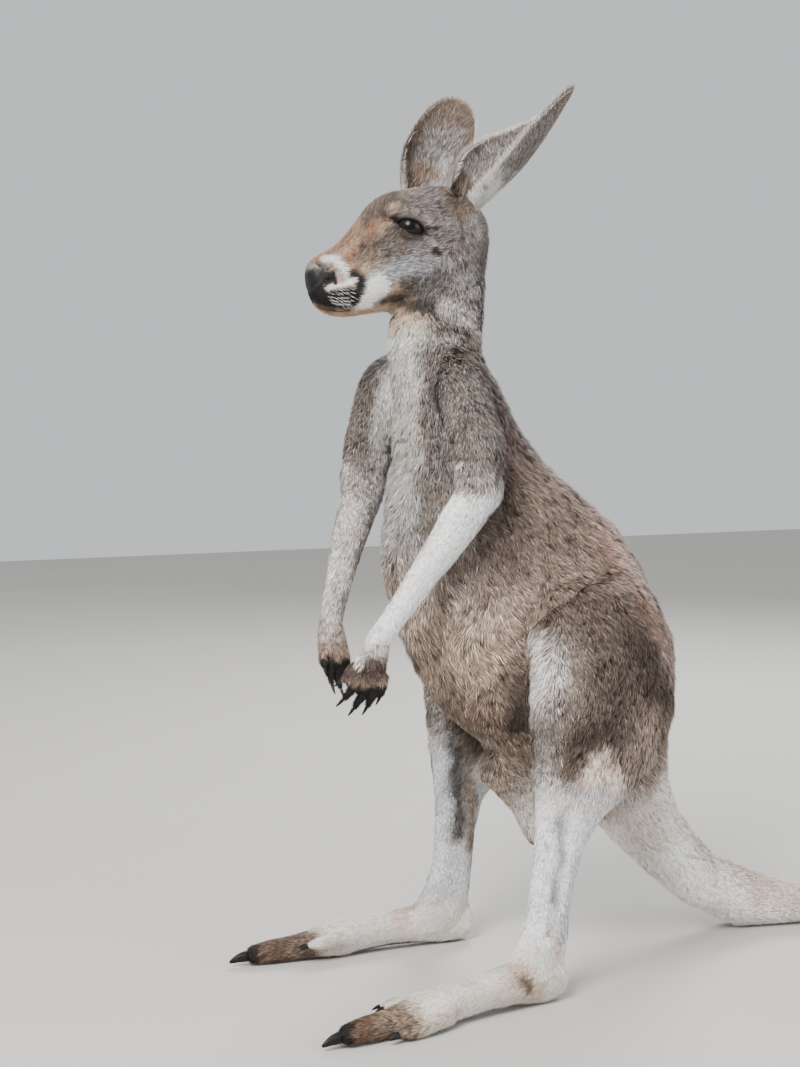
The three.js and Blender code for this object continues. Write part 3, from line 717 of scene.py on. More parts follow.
def line_of(node):
    """The line along which a node's hair lies."""
    side = node.split("_")[0]
    kind = kind_of(node)
    if kind in ("upper_arm", "forearm", "hand"):
        return ARM_LINES[side]
    if kind in ("thigh", "shin", "foot"):
        return to_side(LEG_LINE, SIDES[side])
    if kind == "ear":
        return [EARS[side]["root"], EARS[side]["tip"]]
    return SPINE_LINE


def along_line(points, line):
    """(way of the line at the place nearest to each point, how far along it that is, the way from it)."""
    line = placed(line)
    best = np.full(len(points), np.inf)
    way, out = np.zeros((2, len(points), 3))
    far = np.zeros(len(points))
    run = 0.0
    for start, end in zip(line[:-1], line[1:]):
        step = end - start
        length = np.linalg.norm(step)
        share = np.clip((points - start) @ step / length**2, 0, 1)
        offset = points - start - share[:, None] * step
        away = np.linalg.norm(offset, axis=1)
        near = away < best
        best[near] = away[near]
        way[near] = step / length
        out[near] = offset[near]
        far[near] = run + share[near] * length
        run += length
    return way, far, out


NODE_REACH = 0.03  # the farthest, in metres, that a node has any share in a point
NODE_BLEND = 6 * MM


def node_shares(points):
    """How much each point belongs to each flesh node, as an array with a column per node."""
    shares = np.zeros((len(points), len(FLESH)))
    for column, name in enumerate(FLESH):
        corners, triangles = solid_of(name)
        tree = BVHTree.FromPolygons(corners.tolist(), triangles.tolist())
        low, high = corners.min(0) - NODE_REACH, corners.max(0) + NODE_REACH
        for i in np.flatnonzero(((points > low) & (points < high)).all(axis=1)):
            place, normal, _, away = tree.find_nearest(points[i], NODE_REACH)
            if place is None:
                continue
            if (Vector(points[i]) - place).dot(normal) < 0:
                away = 0
            shares[i, column] = math.exp(-away / NODE_BLEND)
    shares += 1e-6
    return shares / shares.sum(axis=1, keepdims=True)


# ---- tufts ----
# mm. spacing: between roots; deep: how high the tips stand over the skin; clump: between the middles
# of the locks that the tufts draw together in, by the share pull; droop: how much they hang; stray:
# how far tufts turn from the lie, in radians; wave: how far whole locks do.
COAT_KEYS = ("length", "width", "deep", "spacing", "clump", "pull", "droop", "stray", "wave")
COATS = {
    "trunk": (14, 1.1, 10, 1.25, 4.6, 0.36, 0.35, 0.22, 0.3),
    "neck": (11, 0.95, 8, 1.15, 4, 0.34, 0.1, 0.24, 0.3),
    "thigh": (12.5, 1.1, 8, 1.25, 4.3, 0.34, 0.3, 0.22, 0.28),
    "upper_arm": (11, 0.92, 6, 1.12, 3.6, 0.3, 0.1, 0.2, 0.15),
    "forearm": (10, 1.1, 2.6, 1.12, 3, 0.2, 0.0, 0.15, 0.12),
    "hand": (6, 0.95, 2.4, 1.05, 2.4, 0.2, 0.0, 0.3, 0.25),
    "shin": (10, 1.1, 2.6, 1.12, 3, 0.2, 0.0, 0.12, 0.12),
    "foot": (7.5, 1.15, 2.0, 1.2, 3, 0.2, 0.0, 0.14, 0.2),
    "tail_base": (11, 1.2, 7, 1.25, 3.6, 0.28, 0.1, 0.16, 0.2),
    "tail_middle": (9.5, 1.2, 4, 1.2, 3.4, 0.24, 0.0, 0.14, 0.15),
    "tail_end": (8.5, 1.2, 3, 1.2, 3.2, 0.22, 0.0, 0.14, 0.1),
    "head": (6.5, 0.85, 2.6, 0.98, 2.8, 0.26, 0.0, 0.2, 0.2),
    "ear": (8, 0.75, 1.2, 1.0, 2.6, 0.26, 0.0, 0.24, 0.15),
}
# Where the coat differs from the rest of its node: middle, reach in mm, and factors.
COAT_CHANGES = [
    *[(socket, 20, dict(length=0.5, width=0.7, deep=0.35)) for socket in EYE_SOCKETS],
    (head_point(152, 0, 792), 34, dict(length=0.5, width=0.75, deep=0.45)),
    *[(spot, 7, dict(length=1.3, deep=1.7)) for spot in on_head([(75, 30, 873), (75, -30, 873)])],
    *[(spot, 20, dict(length=2.0, deep=1.5)) for spot in on_head([(-26, 38, 856), (-26, -38, 856)])],
    (head_point(4, 36, 896), 15, dict(length=1.9, deep=1.5)),
    ((-50, -104, 917), 15, dict(length=2.2, width=1.3, deep=6)),
    ((33, -93, 897), 11, dict(length=1.6, width=1.3, deep=5)),
    (head_point(-6, 0, 906), 24, dict(length=1.5, deep=2.2)),
    ((0, 10, 215), 60, dict(length=0.7, width=0.8, deep=0.35)),
    ((0, 26, 150), 26, dict(length=0.7, width=0.8, deep=0.35)),
    *[((x, y + 1, z), 13, dict(length=1.3, width=1.1, deep=2.6)) for x, y, z in TOE_TIPS],
    ((0, -120, 420), 110, dict(length=1.5, width=1.25, clump=1.5, wave=1.8)),
]


class Shell:
    """A piece of the skin: its faces, its field, and what each of its points belongs to."""

    def __init__(self, name, points, triangles, quads, field=None):
        self.name = name
        self.points = np.asarray(points, float)
        self.faces = [triangles, quads]
        self.triangles = np.concatenate([triangles, quads[:, [0, 1, 2]], quads[:, [0, 2, 3]]])
        self.field = field
        self.shares = node_shares(self.points)
        self.normals = vertex_normals(self.points, self.triangles)
        self.ear = name.removesuffix("_ear") if name.endswith("_ear") else None


def unit(vectors, least=1e-9):
    return vectors / np.maximum(np.linalg.norm(vectors, axis=1, keepdims=True), least)


def tangent(way, normals):
    return unit(way - (way * normals).sum(axis=1, keepdims=True) * normals)


def vertex_normals(points, triangles):
    a, b, c = (points[triangles[:, i]] for i in range(3))
    faces = np.cross(b - a, c - a)
    normals = np.zeros_like(points)
    for corner in range(3):
        np.add.at(normals, triangles[:, corner], faces)
    return unit(normals, 1e-12)


def node_values(key):
    column = COAT_KEYS.index(key)
    return np.array([COATS[kind_of(name)][column] for name in FLESH], float)


def scattered(shell, thin):
    """Random roots over a shell: places, normals and shares of nodes. thin makes them that much rarer."""
    a, b, c = (shell.points[shell.triangles[:, i]] for i in range(3))
    areas = np.linalg.norm(np.cross(b - a, c - a), axis=1) / 2
    density = shell.shares @ (1 / (node_values("spacing") * MM) ** 2)
    wanted = areas * density[shell.triangles].mean(axis=1) / thin
    count = int(wanted.sum())
    steps = np.cumsum(wanted)
    picked = np.searchsorted(steps, (np.arange(count) + chance.random(count)) * steps[-1] / count)
    chosen = shell.triangles[np.minimum(picked, len(wanted) - 1)]
    u, v = chance.random((2, count))
    flip = u + v > 1
    u[flip], v[flip] = 1 - u[flip], 1 - v[flip]
    weights = np.stack([1 - u - v, u, v], axis=1)
    values = (shell.points, shell.normals, shell.shares)
    places, normals, shares = (np.einsum("nk,nkd->nd", weights, value[chosen]) for value in values)
    return places, unit(normals), shares


def lie_of(places, shares):
    """Which way the hair at each place lies."""
    way = np.zeros((len(places), 3))
    ways = {}
    for column, name in enumerate(FLESH):
        line = tuple(line_of(name))
        if line not in ways:
            ways[line] = along_line(places, line)[0]
        way += shares[:, column : column + 1] * ways[line]
    way[:, 2] -= shares @ node_values("droop")
    return way


def ear_lie(name, places, normals):
    """The hair of an ear: fanning out in the hollow, and across to the rims behind it."""
    ear = EARS[name]
    along, across, hollow = on_ear(name, places, normals)
    _, facing, side, roll, _ = ear_section(ear, along)
    turn = across * roll
    rimward = side * np.cos(turn)[:, None] + facing * np.sin(turn)[:, None]
    fan = np.where(hollow, 0.9 * across + 0.25 * mottle(places, 14, 41), 1.5 * across)
    return ear_axis(ear)[1] + rimward * fan[:, None]


def clumped(places, sizes):
    """For each tuft, the root of the tuft in the middle of its lock, and the lock's number."""
    odds = (sizes["spacing"] / sizes["clump"]) ** 2
    seeds = np.flatnonzero(chance.random(len(places)) < odds)
    tree = KDTree(len(seeds))
    for i, seed in enumerate(seeds):
        tree.insert(places[seed], i)
    tree.balance()
    nearest = np.array([tree.find(place)[1] for place in places])
    return places[seeds][nearest], nearest


def lifted(shell, points, height):
    """Points moved square to the skin until they stand at the given heights over it."""
    if shell.field is None:
        return points
    for _ in range(2):
        out = shell.field.slope(points)
        points = points + out * (height - shell.field.at(points))[:, None]
    return points


ROOT_DEPTH = 0.4 * MM  # how far the tufts' roots lie in the skin
LEAST_HEIGHT = 0.3 * MM  # of any tuft over the floor


class Tufts:
    """The tufts of one shell: the middle line of each, its width and side, and the lock it is in."""

    def __init__(self, shell, thin):
        places, normals, shares = scattered(shell, thin)
        keep = kept(shell, places, normals)
        places, normals, shares = places[keep], normals[keep], shares[keep]
        count = len(places)
        way = ear_lie(shell.ear, places, normals) if shell.ear else lie_of(places, shares)
        way = tangent(way, normals)
        sizes = resized(places, {key: shares @ node_values(key) for key in COAT_KEYS})
        turn = chance.normal(0, 1, count) * sizes["stray"] + sizes["wave"] * mottle(places, 26, 51)
        way = tangent(way + np.cross(normals, way) * turn[:, None], normals)
        length = sizes["length"] * MM * chance.uniform(0.75, 1.2, count)
        middles, self.lock = clumped(places, sizes)
        inward = middles - places
        self.away = np.linalg.norm(inward, axis=1) / (sizes["clump"] * MM)
        deep = sizes["deep"] * MM * np.clip(1.1 - 0.35 * self.away, 0.6, 1.1)
        deep = deep * chance.uniform(0.82, 1.06, count)
        deep = deep * np.clip(1 + 0.12 * mottle(places, 11, 52), 0.8, 1.08)
        self.width = sizes["width"] * MM * chance.uniform(0.7, 1.3, count)
        self.shell = shell
        self.places, self.normals, self.shares = places, normals, shares
        self.side = tangent(np.cross(way, normals), normals)
        self.lines = [places - normals * ROOT_DEPTH]
        for share, risen in ((0.5, 0.72), (1.0, 1.0)):
            point = places + way * (length * share)[:, None]
            point = point + inward * (sizes["pull"] * share**1.4)[:, None]
            rise = deep * risen
            if shell.field is None:
                point = point + normals * rise[:, None]
            self.lines.append(lifted(shell, point, rise))
        for line in self.lines:
            line[:, 2] = np.maximum(line[:, 2], LEAST_HEIGHT)


def kept(shell, places, normals):
    """Which roots lie on this shell's own side of its joins, and off the bare skin."""
    keep = np.ones(len(places), bool)
    whole = shell.name == "body"
    for name, (point, normal) in JOINS.items():
        side = (places - placed(point)) @ np.array(normal, float)
        if whole:
            low, high = node_box(name, 3 * MM)
            keep &= ~(((places > low) & (places < high)).all(axis=1) & (side > 0))
        elif name == shell.name:
            keep &= side > 0
    keep &= ~((places[:, 2] < 5 * MM) & (normals[:, 2] < -0.75))
    if shell.name == "head":
        keep &= ~bare_on_head(places)
    return keep


def bare_on_head(places):
    """Where the head has no hair: the lids' rims, the pad of the nose but for its top, the nostrils."""
    bare = np.zeros(len(places), bool)
    for side in SIDES.values():
        near, opening = round_eye(places, side)
        bare |= near & (opening > -0.13)
    spots = half_head_places(places)
    pad = np.linalg.norm((spots - NOSE_AT) / (NOSE_RADII + 0.5), axis=1) < 1
    thin = (spots[:, 2] > 811) & (chance.random(len(places)) < 0.75)
    bare |= pad & ~thin
    for line, reach in ((NOSTRIL, 2.6), (NOSTRIL_SLIT, 2.2)):
        bare |= distance_to_line(*spots.T, np.array(line)) < reach
    return bare


def resized(places, sizes):
    """Longer, shorter, thinner or thicker coat in the places that have it."""
    for middle, reach, factors in COAT_CHANGES:
        away = np.linalg.norm(places - placed(middle), axis=1) / (reach * MM)
        share = np.exp(-(away**2))
        for key, factor in factors.items():
            sizes[key] = sizes[key] * (1 + (factor - 1) * share)
    return sizes


# ---- markings ----
def srgb(*levels):
    """A colour given as seen on a screen, 0 to 255, as linear light."""
    level = np.array(levels, float) / 255
    return np.where(level <= 0.04045, level / 12.92, ((level + 0.055) / 1.055) ** 2.4)


def shade(red, green, blue, grizzle=0.12):
    """A colour of the coat, and how strongly its single tufts differ from it."""
    return np.array([*srgb(red, green, blue), grizzle])


def smooth_step(value, low, high):
    share = np.clip((value - low) / (high - low), 0, 1)
    return share * share * (3 - 2 * share)


def mottle(places, size, seed):
    """A smooth random field, about -1 to 1, that changes over size mm."""
    ways = np.random.default_rng(seed).normal(0, 1, (7, 3))
    shifts = np.random.default_rng(seed + 100).uniform(0, 2 * np.pi, 7)
    total = np.zeros(len(places))
    for way, shift in zip(ways, shifts):
        total += np.sin(places @ way * (2.2 / (size * MM)) + shift)
    return total / 2.2


DEEPENING = 1.12  # a power that deepens the dark parts of the coat and leaves its white as it is
# The ground colour of each node.
GROUND = {
    "trunk": shade(134, 117, 107, 0.32), "neck": shade(101, 93, 87, 0.42),
    "head": shade(120, 112, 108, 0.42), "ear": shade(170, 162, 155, 0.25),
    "upper_arm": shade(113, 105, 99, 0.34), "forearm": shade(254, 252, 253, 0.17),
    "hand": shade(238, 226, 218, 0.24), "thigh": shade(98, 86, 78, 0.32),
    "shin": shade(226, 227, 230, 0.11), "foot": shade(255, 240, 227, 0.13),
    "tail_base": shade(251, 242, 236, 0.17), "tail_middle": shade(255, 246, 240, 0.17),
    "tail_end": shade(254, 233, 217, 0.16),
}
# The front of the neck, chest and belly: height in mm, half width in mm, colour; painted shade dulls the
# chest's white and darkens the lower belly.
UNDERSIDE = [
    (120, 16, shade(64, 50, 40, 0.3)),
    (150, 20, shade(150, 142, 134, 0.2)),
    (185, 30, shade(196, 188, 180, 0.15)),
    (225, 40, shade(168, 154, 142, 0.2)),
    # painted shade darkens the lower belly over these two rows
    (270, 52, shade(136, 121, 109, 0.26)),
    (320, 62, shade(116, 100, 89, 0.36)),
    (370, 76, shade(146, 130, 117, 0.42)),
    (420, 88, shade(160, 143, 130, 0.42)),
    (470, 80, shade(156, 142, 132, 0.38)),
    (520, 60, shade(152, 147, 144, 0.3)),
    # painted shade dulls the chest's white to grey over the next four rows
    (557, 50, shade(174, 171, 168, 0.16)),
    (584, 41, shade(184, 181, 177, 0.13)),
    (612, 32, shade(184, 181, 176, 0.12)),
    (645, 26, shade(184, 181, 176, 0.12)),
    (704, 28, shade(190, 188, 183, 0.14)),
    (740, 32, shade(200, 199, 195, 0.14)),
    (768, 26, shade(180, 157, 136, 0.16)),
    (800, 20, shade(176, 150, 127, 0.16)),
]


def marks(rows):
    """The marks of a table, each over those before it.

    A row gives a name for the reader, a line or a single place, the reach in mm and the colour. Then come
    the edge, the amount, and True for a mark that is on one side of the body only, where they differ from
    the usual ones of a mark. A mark shows by half at its reach, and fades over that share of it, the edge,
    to either side.
    """
    return [mark(*row[1:]) for row in rows]


def mark(line, reach, colour, edge=0.6, amount=1.0, one_sided=False):
    if len(line) == 1:
        line = [line[0], np.add(line[0], (0, 0, 0.01))]
    return {"line": np.array(line, float), "reach": reach, "colour": shade(*colour), "edge": edge,
            "amount": amount, "one sided": one_sided}


# Marks on the body, in the tables' millimetres.
BODY_MARKS = marks([
    ("back of the neck", [(0, -60, 800), (0, -62, 740), (0, -55, 690)], 26, (122, 114, 110, 0.36), 0.5),
    ("side of the nape", [(36, -88, 800), (33, -85, 778), (27, -75, 751), (22, -68, 725)], 16,
     (158, 149, 146, 0.36), 0.8, 0.9),
    ("between the shoulders", [(0, -50, 690), (20, -40, 640)], 58, (97, 84, 77, 0.34), 0.6, 0.85),
    ("ridge of the back", [(0, 0, 610), (0, 60, 520), (0, 110, 430), (0, 150, 330)], 44,
     (121, 103, 95, 0.28), 0.6, 0.7),
    ("streak of the rump", [(88, 62, 520), (96, 84, 470), (112, 108, 415)], 24, (146, 119, 106, 0.24),
     0.6, 0.85),
    ("rear of the haunch", [(130, 100, 350), (130, 106, 318)], 22, (76, 62, 54, 0.3), 0.8, 0.85),
    ("pale edge of the rump", [(56, 56, 530), (82, 104, 460), (108, 118, 410), (121, 123, 371)], 20,
     (168, 148, 138, 0.28), 0.8, 0.85),
    ("under the arm", [(88, -72, 570), (90, -80, 505)], 34, (95, 83, 75, 0.3), 0.6, 0.85),
    ("flank", [(86, -20, 540), (84, -30, 460)], 30, (124, 108, 99, 0.3), 0.7, 0.7),
    ("before the near arm", [(66, -128, 690), (70, -130, 640), (70, -132, 590)], 20, (108, 102, 98, 0.36),
     0.8, 0.9, True),
    # partly the grey fur of the chest's side, partly painted shade beside the near arm
    ("side of the chest", [(44, -136, 705), (41, -136, 667), (45, -134, 623), (53, -130, 590)], 14,
     (104, 99, 96, 0.42), 0.5, 0.95, True),
    ("far side of the chest", [(-50, -126, 650), (-56, -124, 560)], 20, (112, 104, 98, 0.34), 0.8, 0.9,
     True),
    ("shoulder", [(92, -84, 690), (104, -104, 640)], 34, (112, 105, 100, 0.36), 0.6, 0.8),
    ("inside of the near arm", [(72, -152, 640), (82, -154, 590)], 15, (118, 111, 106, 0.32), 0.6, 0.6,
     True),
    ("inside of the far arm", [(-50, -136, 704), (-58, -146, 668), (-70, -140, 634), (-79, -136, 604),
      (-84, -140, 570)], 12, (206, 203, 199, 0.12), 0.5, 0.95, True),
    ("grey over the elbow", [(112, -150, 588), (118, -120, 576)], 15, (150, 142, 137, 0.34), 1.0, 0.85),
    ("elbow", [(120, -98, 556), (112, -136, 546), (104, -152, 530)], 20, (252, 249, 248, 0.24), 0.8),
    # painted shade: the white of the far forearm darkened
    ("far forearm", [(-103, -150, 570), (-88, -178, 500), (-64, -212, 420)], 30, (170, 163, 158, 0.3),
     0.5, 0.85, True),
    # painted shadow on the chest in front of the elbow, beside the arm
    ("painted shadow on the chest before the elbow", [(38, -143, 592), (38, -143, 573), (46, -143, 535), (50, -140, 505)], 14,
     (104, 97, 91, 0.36), 0.8, 0.92, True),
    ("blotch of the thigh", [(141, 66, 400), (139, 82, 364), (134, 100, 340)], 20, (74, 62, 54, 0.34),
     0.9, 0.8),
    ("pale rear of the haunch", [(116, 108, 416), (128, 96, 418)], 13, (128, 110, 98, 0.24), 0.8, 0.7),
    ("low rear of the thigh", [(140, 84, 308), (137, 98, 284), (134, 112, 296), (140, 64, 272)], 26,
     (158, 141, 129, 0.3), 0.8, 0.85),
    ("low blotch of the thigh", [(150, 22, 318), (149, 6, 310), (146, -18, 302)], 9.5, (70, 59, 52, 0.28),
     0.9, 0.9),
    ("before the grey of the thigh", [(134, -30, 396), (142, -34, 350)], 24, (132, 122, 115, 0.32), 0.9,
     0.8),
    ("front of the thigh", [(112, -46, 408), (125, -42, 395), (130, -44, 370), (122, -49, 345)], 15,
     (204, 199, 197, 0.2), 0.9, 0.95),
    ("front of the knee", [(112, -48, 312), (118, -47, 290), (126, -46, 262)], 22, (148, 141, 135, 0.3),
     0.8, 0.9),
    ("shadow of the flank", [(88, -46, 372), (77, -50, 344), (64, -42, 312)], 15, (56, 48, 43, 0.24), 0.8,
     0.9),
    # painted shade: a dark line laid in the crease before the haunch
    ("crease before the haunch", [(87, 73, 477), (110, 26, 458), (122, -12, 442), (116, -34, 426)], 3,
     (66, 56, 50, 0.24), 0.8, 0.7),
    ("tan patch of the knee", [(146, 16, 278), (143, 6, 258), (144, 34, 258), (140, 50, 244)], 14,
     (240, 218, 202, 0.24), 0.7, 0.95),
    ("streak over the knee", [(145, -24, 290), (141, -22, 262)], 7, (112, 94, 82, 0.26), 0.9, 0.8),
    ("knee", [(128, -40, 234), (138, -10, 228), (138, 30, 226)], 20, (222, 218, 216, 0.08), 1.0),
    # painted shade: the white front of the far shin dulled to grey
    ("painted shade on the front of the far shin", [(-114, -38, 230), (-115, -36, 192), (-114, -37, 131), (-107, -40, 83)], 34,
     (204, 205, 208, 0.12), 0.7, 0.9, True),
    ("inner edge of the shin", [(98, -2, 250), (103, 2, 178), (105, 4, 130)], 11, (132, 112, 97, 0.24),
     0.8, 0.85),
    ("inside of the shin", [(99, -20, 252), (101, -18, 230), (104, -15, 180), (106, -17, 142)], 9,
     (60, 52, 46, 0.22), 0.9, 0.9),
    ("groin", [(12, -57, 256), (8, -41, 268), (20, -10, 240)], 26, (146, 132, 121, 0.26), 0.6, 0.8),
    ("fold of the groin", [(4, 0, 232), (2, 15, 198), (0, 24, 166)], 15, (206, 201, 196, 0.12), 0.7, 0.9),
    ("tuft of the groin", [(0, 27, 142)], 14, (60, 48, 41, 0.24), 0.7),
    ("tendon of the heel", [(132, -8, 170), (129, -14, 120), (128, -20, 80)], 7, (190, 191, 196, 0.12),
     0.9, 0.6),
    # painted shadow along the groove before the heel tendon
    ("painted shadow in the groove of the shin", [(139, -24, 214), (134, -26, 172), (131, -31, 116), (132, -38, 84)], 5.5,
     (150, 147, 147, 0.14), 0.9, 0.8),
    ("edge of the foot", [(150, -84, 20), (152, -130, 20), (152, -180, 18), (152, -216, 16)], 4.5,
     (198, 180, 168, 0.2), 0.9, 0.7),
    ("tan of the hock", [(134, -80, 40), (136, -62, 22)], 17, (196, 175, 156, 0.2), 0.8, 0.7),
    ("hock", [(136, -75, 36), (138, -68, 27)], 6, (98, 77, 60, 0.24), 0.9, 0.85),
    ("pale side of the foot", [(148, -240, 14), (158, -214, 18)], 11, (218, 200, 184, 0.2), 0.7, 0.85),
    ("hollow over the hock", [(136, -24, 98), (134, -30, 60)], 8, (164, 152, 144, 0.14), 0.7, 0.6),
    ("fork of the tail", [(46, 120, 200), (38, 160, 150)], 26, (206, 197, 190, 0.12), 0.7, 0.7),
    ("rear of the knee", [(122, 98, 236), (122, 112, 214), (112, 86, 196)], 24, (184, 170, 160, 0.26),
     1.0, 0.8),
    ("root of the tail", [(0, 146, 300), (0, 166, 262)], 56, (140, 122, 111, 0.3), 0.8, 0.85),
    ("root of the tail above", [(0, 165, 280), (0, 205, 215), (0, 260, 140), (0, 330, 100)], 38,
     (140, 121, 110, 0.3), 0.9, 0.85),
    ("tan of the tail", [(24, 350, 60), (60, 440, 40)], 34, (196, 178, 167, 0.14), 0.6, 0.85),
])
# Marks on the head: ahead, left and height on the head.
HEAD_MARKS = marks([
    ("crown", [(4, 0, 906), (10, 24, 896)], 34, (98, 88, 82, 0.44)),
    ("forehead", [(58, 14, 890), (36, 22, 894)], 20, (132, 124, 123, 0.42), 0.8, 0.85),
    ("between the eyes", [(106, 6, 862), (84, 12, 876), (70, 10, 886)], 17, (104, 93, 88, 0.4), 0.7, 0.95),
    ("side of the brow", [(100, 17, 858), (92, 22, 868), (84, 24, 878)], 8, (104, 90, 82, 0.3), 0.6, 0.8),
    ("bridge", [(150, 0, 824), (128, 0, 838), (114, 0, 851)], 17, (156, 130, 112, 0.26), 0.35),
    ("edge of the bridge", [(96, 25, 856), (99, 23, 842), (113, 21, 828), (124, 21, 818)], 6,
     (150, 114, 90, 0.24), 0.6, 0.9),
    ("grizzled cheek", [(102, 26, 826), (88, 32, 830), (76, 38, 826)], 14, (112, 102, 95, 0.44), 0.7, 0.85),
    ("under the eye", [(78, 36, 848), (62, 43, 842), (50, 46, 840)], 7, (96, 84, 77, 0.36), 0.6, 0.85),
    ("point under the eye", [(64, 43, 838), (60, 45, 824)], 5, (92, 82, 76, 0.36), 0.7, 0.8),
    ("behind the eye", [(30, 44, 852), (16, 44, 856), (4, 42, 862)], 10, (120, 113, 110, 0.4), 0.6, 0.7),
    ("stripe of the cheek", [(108, 22, 782), (92, 29, 797), (72, 38, 808), (48, 44, 812), (18, 45, 812)],
     12, (172, 172, 176, 0.3), 0.6, 0.9),
    ("pale of the cheek", [(50, 46, 828), (38, 46, 818), (12, 44, 806)], 13, (138, 135, 135, 0.4), 0.7,
     0.55),
    # painted shade on the lower cheek over the jaw line
    ("painted shade of the cheek over the jaw", [(56, 30, 790), (34, 37, 794), (20, 41, 806)], 11, (92, 87, 83, 0.42), 0.8,
     0.85),
    ("rear of the cheek", [(-12, 36, 800), (-26, 32, 806)], 12, (148, 143, 143, 0.4), 0.8, 0.85),
    # painted shade: a dark band along the jaw line
    ("painted shade along the jaw", [(88, 19, 777), (61, 23, 776), (46, 29, 773), (31, 36, 772)], 7,
     (56, 50, 47, 0.34), 0.7, 0.92),
    ("pale behind the jaw", [(10, 39, 774), (-8, 36, 764)], 12, (172, 168, 164, 0.36), 0.6, 0.92),
    ("under the jaw", [(88, 8, 765), (60, 10, 759), (34, 20, 760)], 9, (190, 170, 152, 0.16), 0.6, 0.8),
    ("white cheek", [(104, 20, 774), (97, 24, 784), (90, 27, 790)], 12, (250, 250, 250, 0.06), 0.35),
    ("chin", [(148, 0, 757), (122, 0, 757), (100, 0, 763)], 13, (196, 166, 142, 0.14), 0.35),
    ("white over the nostril", [(146, 12, 817), (138, 16, 818), (131, 19, 813)], 5.4,
     (228, 229, 231, 0.12), 0.5),
    ("white behind the nostril", [(127, 21, 808), (124, 23, 800)], 5, (232, 228, 226, 0.09), 0.4),
    ("dark patch behind the muzzle", [(118, 24, 803), (111, 25, 796), (110, 25, 784)], 6,
     (34, 31, 30, 0.24), 0.5),
    ("whisker field", [(146, 11, 778), (132, 17, 778), (120, 19, 778)], 11.5, (32, 31, 31, 0.24), 0.22),
    ("black of the nose", [(156, 8, 798), (148, 14, 797), (142, 17, 796), (150, 12, 806)], 9,
     (26, 24, 24, 0.1), 0.35),
    ("black between nose and lip", [(158, 4, 790), (151, 13, 789), (145, 17, 787)], 6.5,
     (26, 24, 24, 0.1), 0.4),
    ("grey of the nostril", [(149, 12, 811), (141, 16, 811)], 4, (112, 110, 112, 0.14), 0.6, 0.9),
    ("black under the nose", [(158, 4, 780), (152, 9, 779), (148, 12, 778)], 8, (26, 24, 24, 0.1), 0.3),
    ("white band", [(145, 19, 787.5), (138, 21, 790), (130, 23, 792), (123, 24, 794), (116, 25, 797)], 3,
     (240, 236, 234, 0.06), 0.4),
    ("skin behind the nostril", [(131, 21, 801), (132, 21, 795)], 3.6, (206, 166, 164, 0.05), 0.4),
    # painted highlight on the raised rim of the nostril
    ("painted highlight on the rim of the nostril", [(133, 20.5, 806), (131, 21, 798)], 1.4, (168, 158, 154, 0.08), 0.6, 0.8),
    ("nostril", [(139, 16.5, 806), (136, 20, 801), (135.5, 21, 793)], 2.8, (12, 10, 10, 0.05), 0.4),
    ("lip", [(153, 3, 768), (146, 8, 767), (138, 10, 766)], 4.5, (104, 82, 72, 0.16), 0.4),
    ("mouth", [(154, 3, 767), (147, 8, 765), (137, 10, 764), (124, 12, 764), (112, 16, 766)], 1.5,
     (28, 23, 22, 0.05), 0.4),
    ("mole", [(34, 47, 829), (28, 46, 826)], 3.2, (46, 42, 40, 0.15), 0.4),
    ("pale of the brow", [(70, 33, 872), (56, 37, 871), (43, 41, 866), (36, 43, 860)], 3.0,
     (206, 187, 173, 0.22), 0.6, 0.9),
    # painted shade in the furrow round the raised brow tuft
    ("painted shade round the brow tuft", [(82, 24, 868), (80, 21, 880), (70, 25, 887), (63, 33, 881)], 3.4,
     (84, 72, 65, 0.3), 0.7, 0.8),
    ("brow tuft", [(75, 30, 873)], 7, (170, 152, 138, 0.4), 0.5, 0.95),
    ("dark of the brow tuft", [(72, 27, 881), (73, 31, 875), (74, 32, 869)], 1.6, (62, 50, 44, 0.3), 0.7,
     0.95),
    ("second dark of the brow tuft", [(79, 27, 876), (79, 30, 869)], 1.4, (78, 64, 56, 0.3), 0.7, 0.9),
    # painted shadow under the raised brow tuft
    ("painted shadow under the brow tuft", [(82, 28, 864), (76, 33, 863), (68, 36, 867)], 2.2, (58, 48, 42, 0.2)),
    ("tear line", [(89, 26, 866), (82, 30, 864), (74, 35, 861)], 2.9, (30, 25, 23, 0.05), 0.5),
    ("corner of the eye", [(39, 46, 853), (34, 47, 852.5), (31, 47, 852.5)], 2.6, (38, 32, 29, 0.05), 0.5),
    ("before the ear", [(10, 26, 903), (2, 30, 900), (-4, 34, 900)], 9.5, (126, 95, 72, 0.32), 0.6, 0.9),
    ("under the ear", [(4, 46, 880), (-4, 50, 876)], 8, (114, 97, 84, 0.32), 0.6, 0.9),
    ("white behind the ear", [(-16, 46, 868), (-24, 40, 862)], 8, (196, 191, 186, 0.26), 1.0, 0.7),
    ("back of the head", [(-34, 0, 880), (-46, 0, 850), (-50, 0, 820)], 24, (118, 109, 104, 0.36), 0.8,
     0.85),
])
# Marks round the roots of the ears, in the tables' millimetres.
EAR_MARKS = marks([
    ("tuft before the near ear", [(31, -99, 902), (36, -88, 890)], 9, (106, 90, 78, 0.45), 0.9, 0.9),
    ("tuft before the far ear", [(-45, -118, 916), (-49, -100, 922), (-50, -80, 920)], 14,
     (118, 98, 82, 0.45), 1.0, 0.9),
])
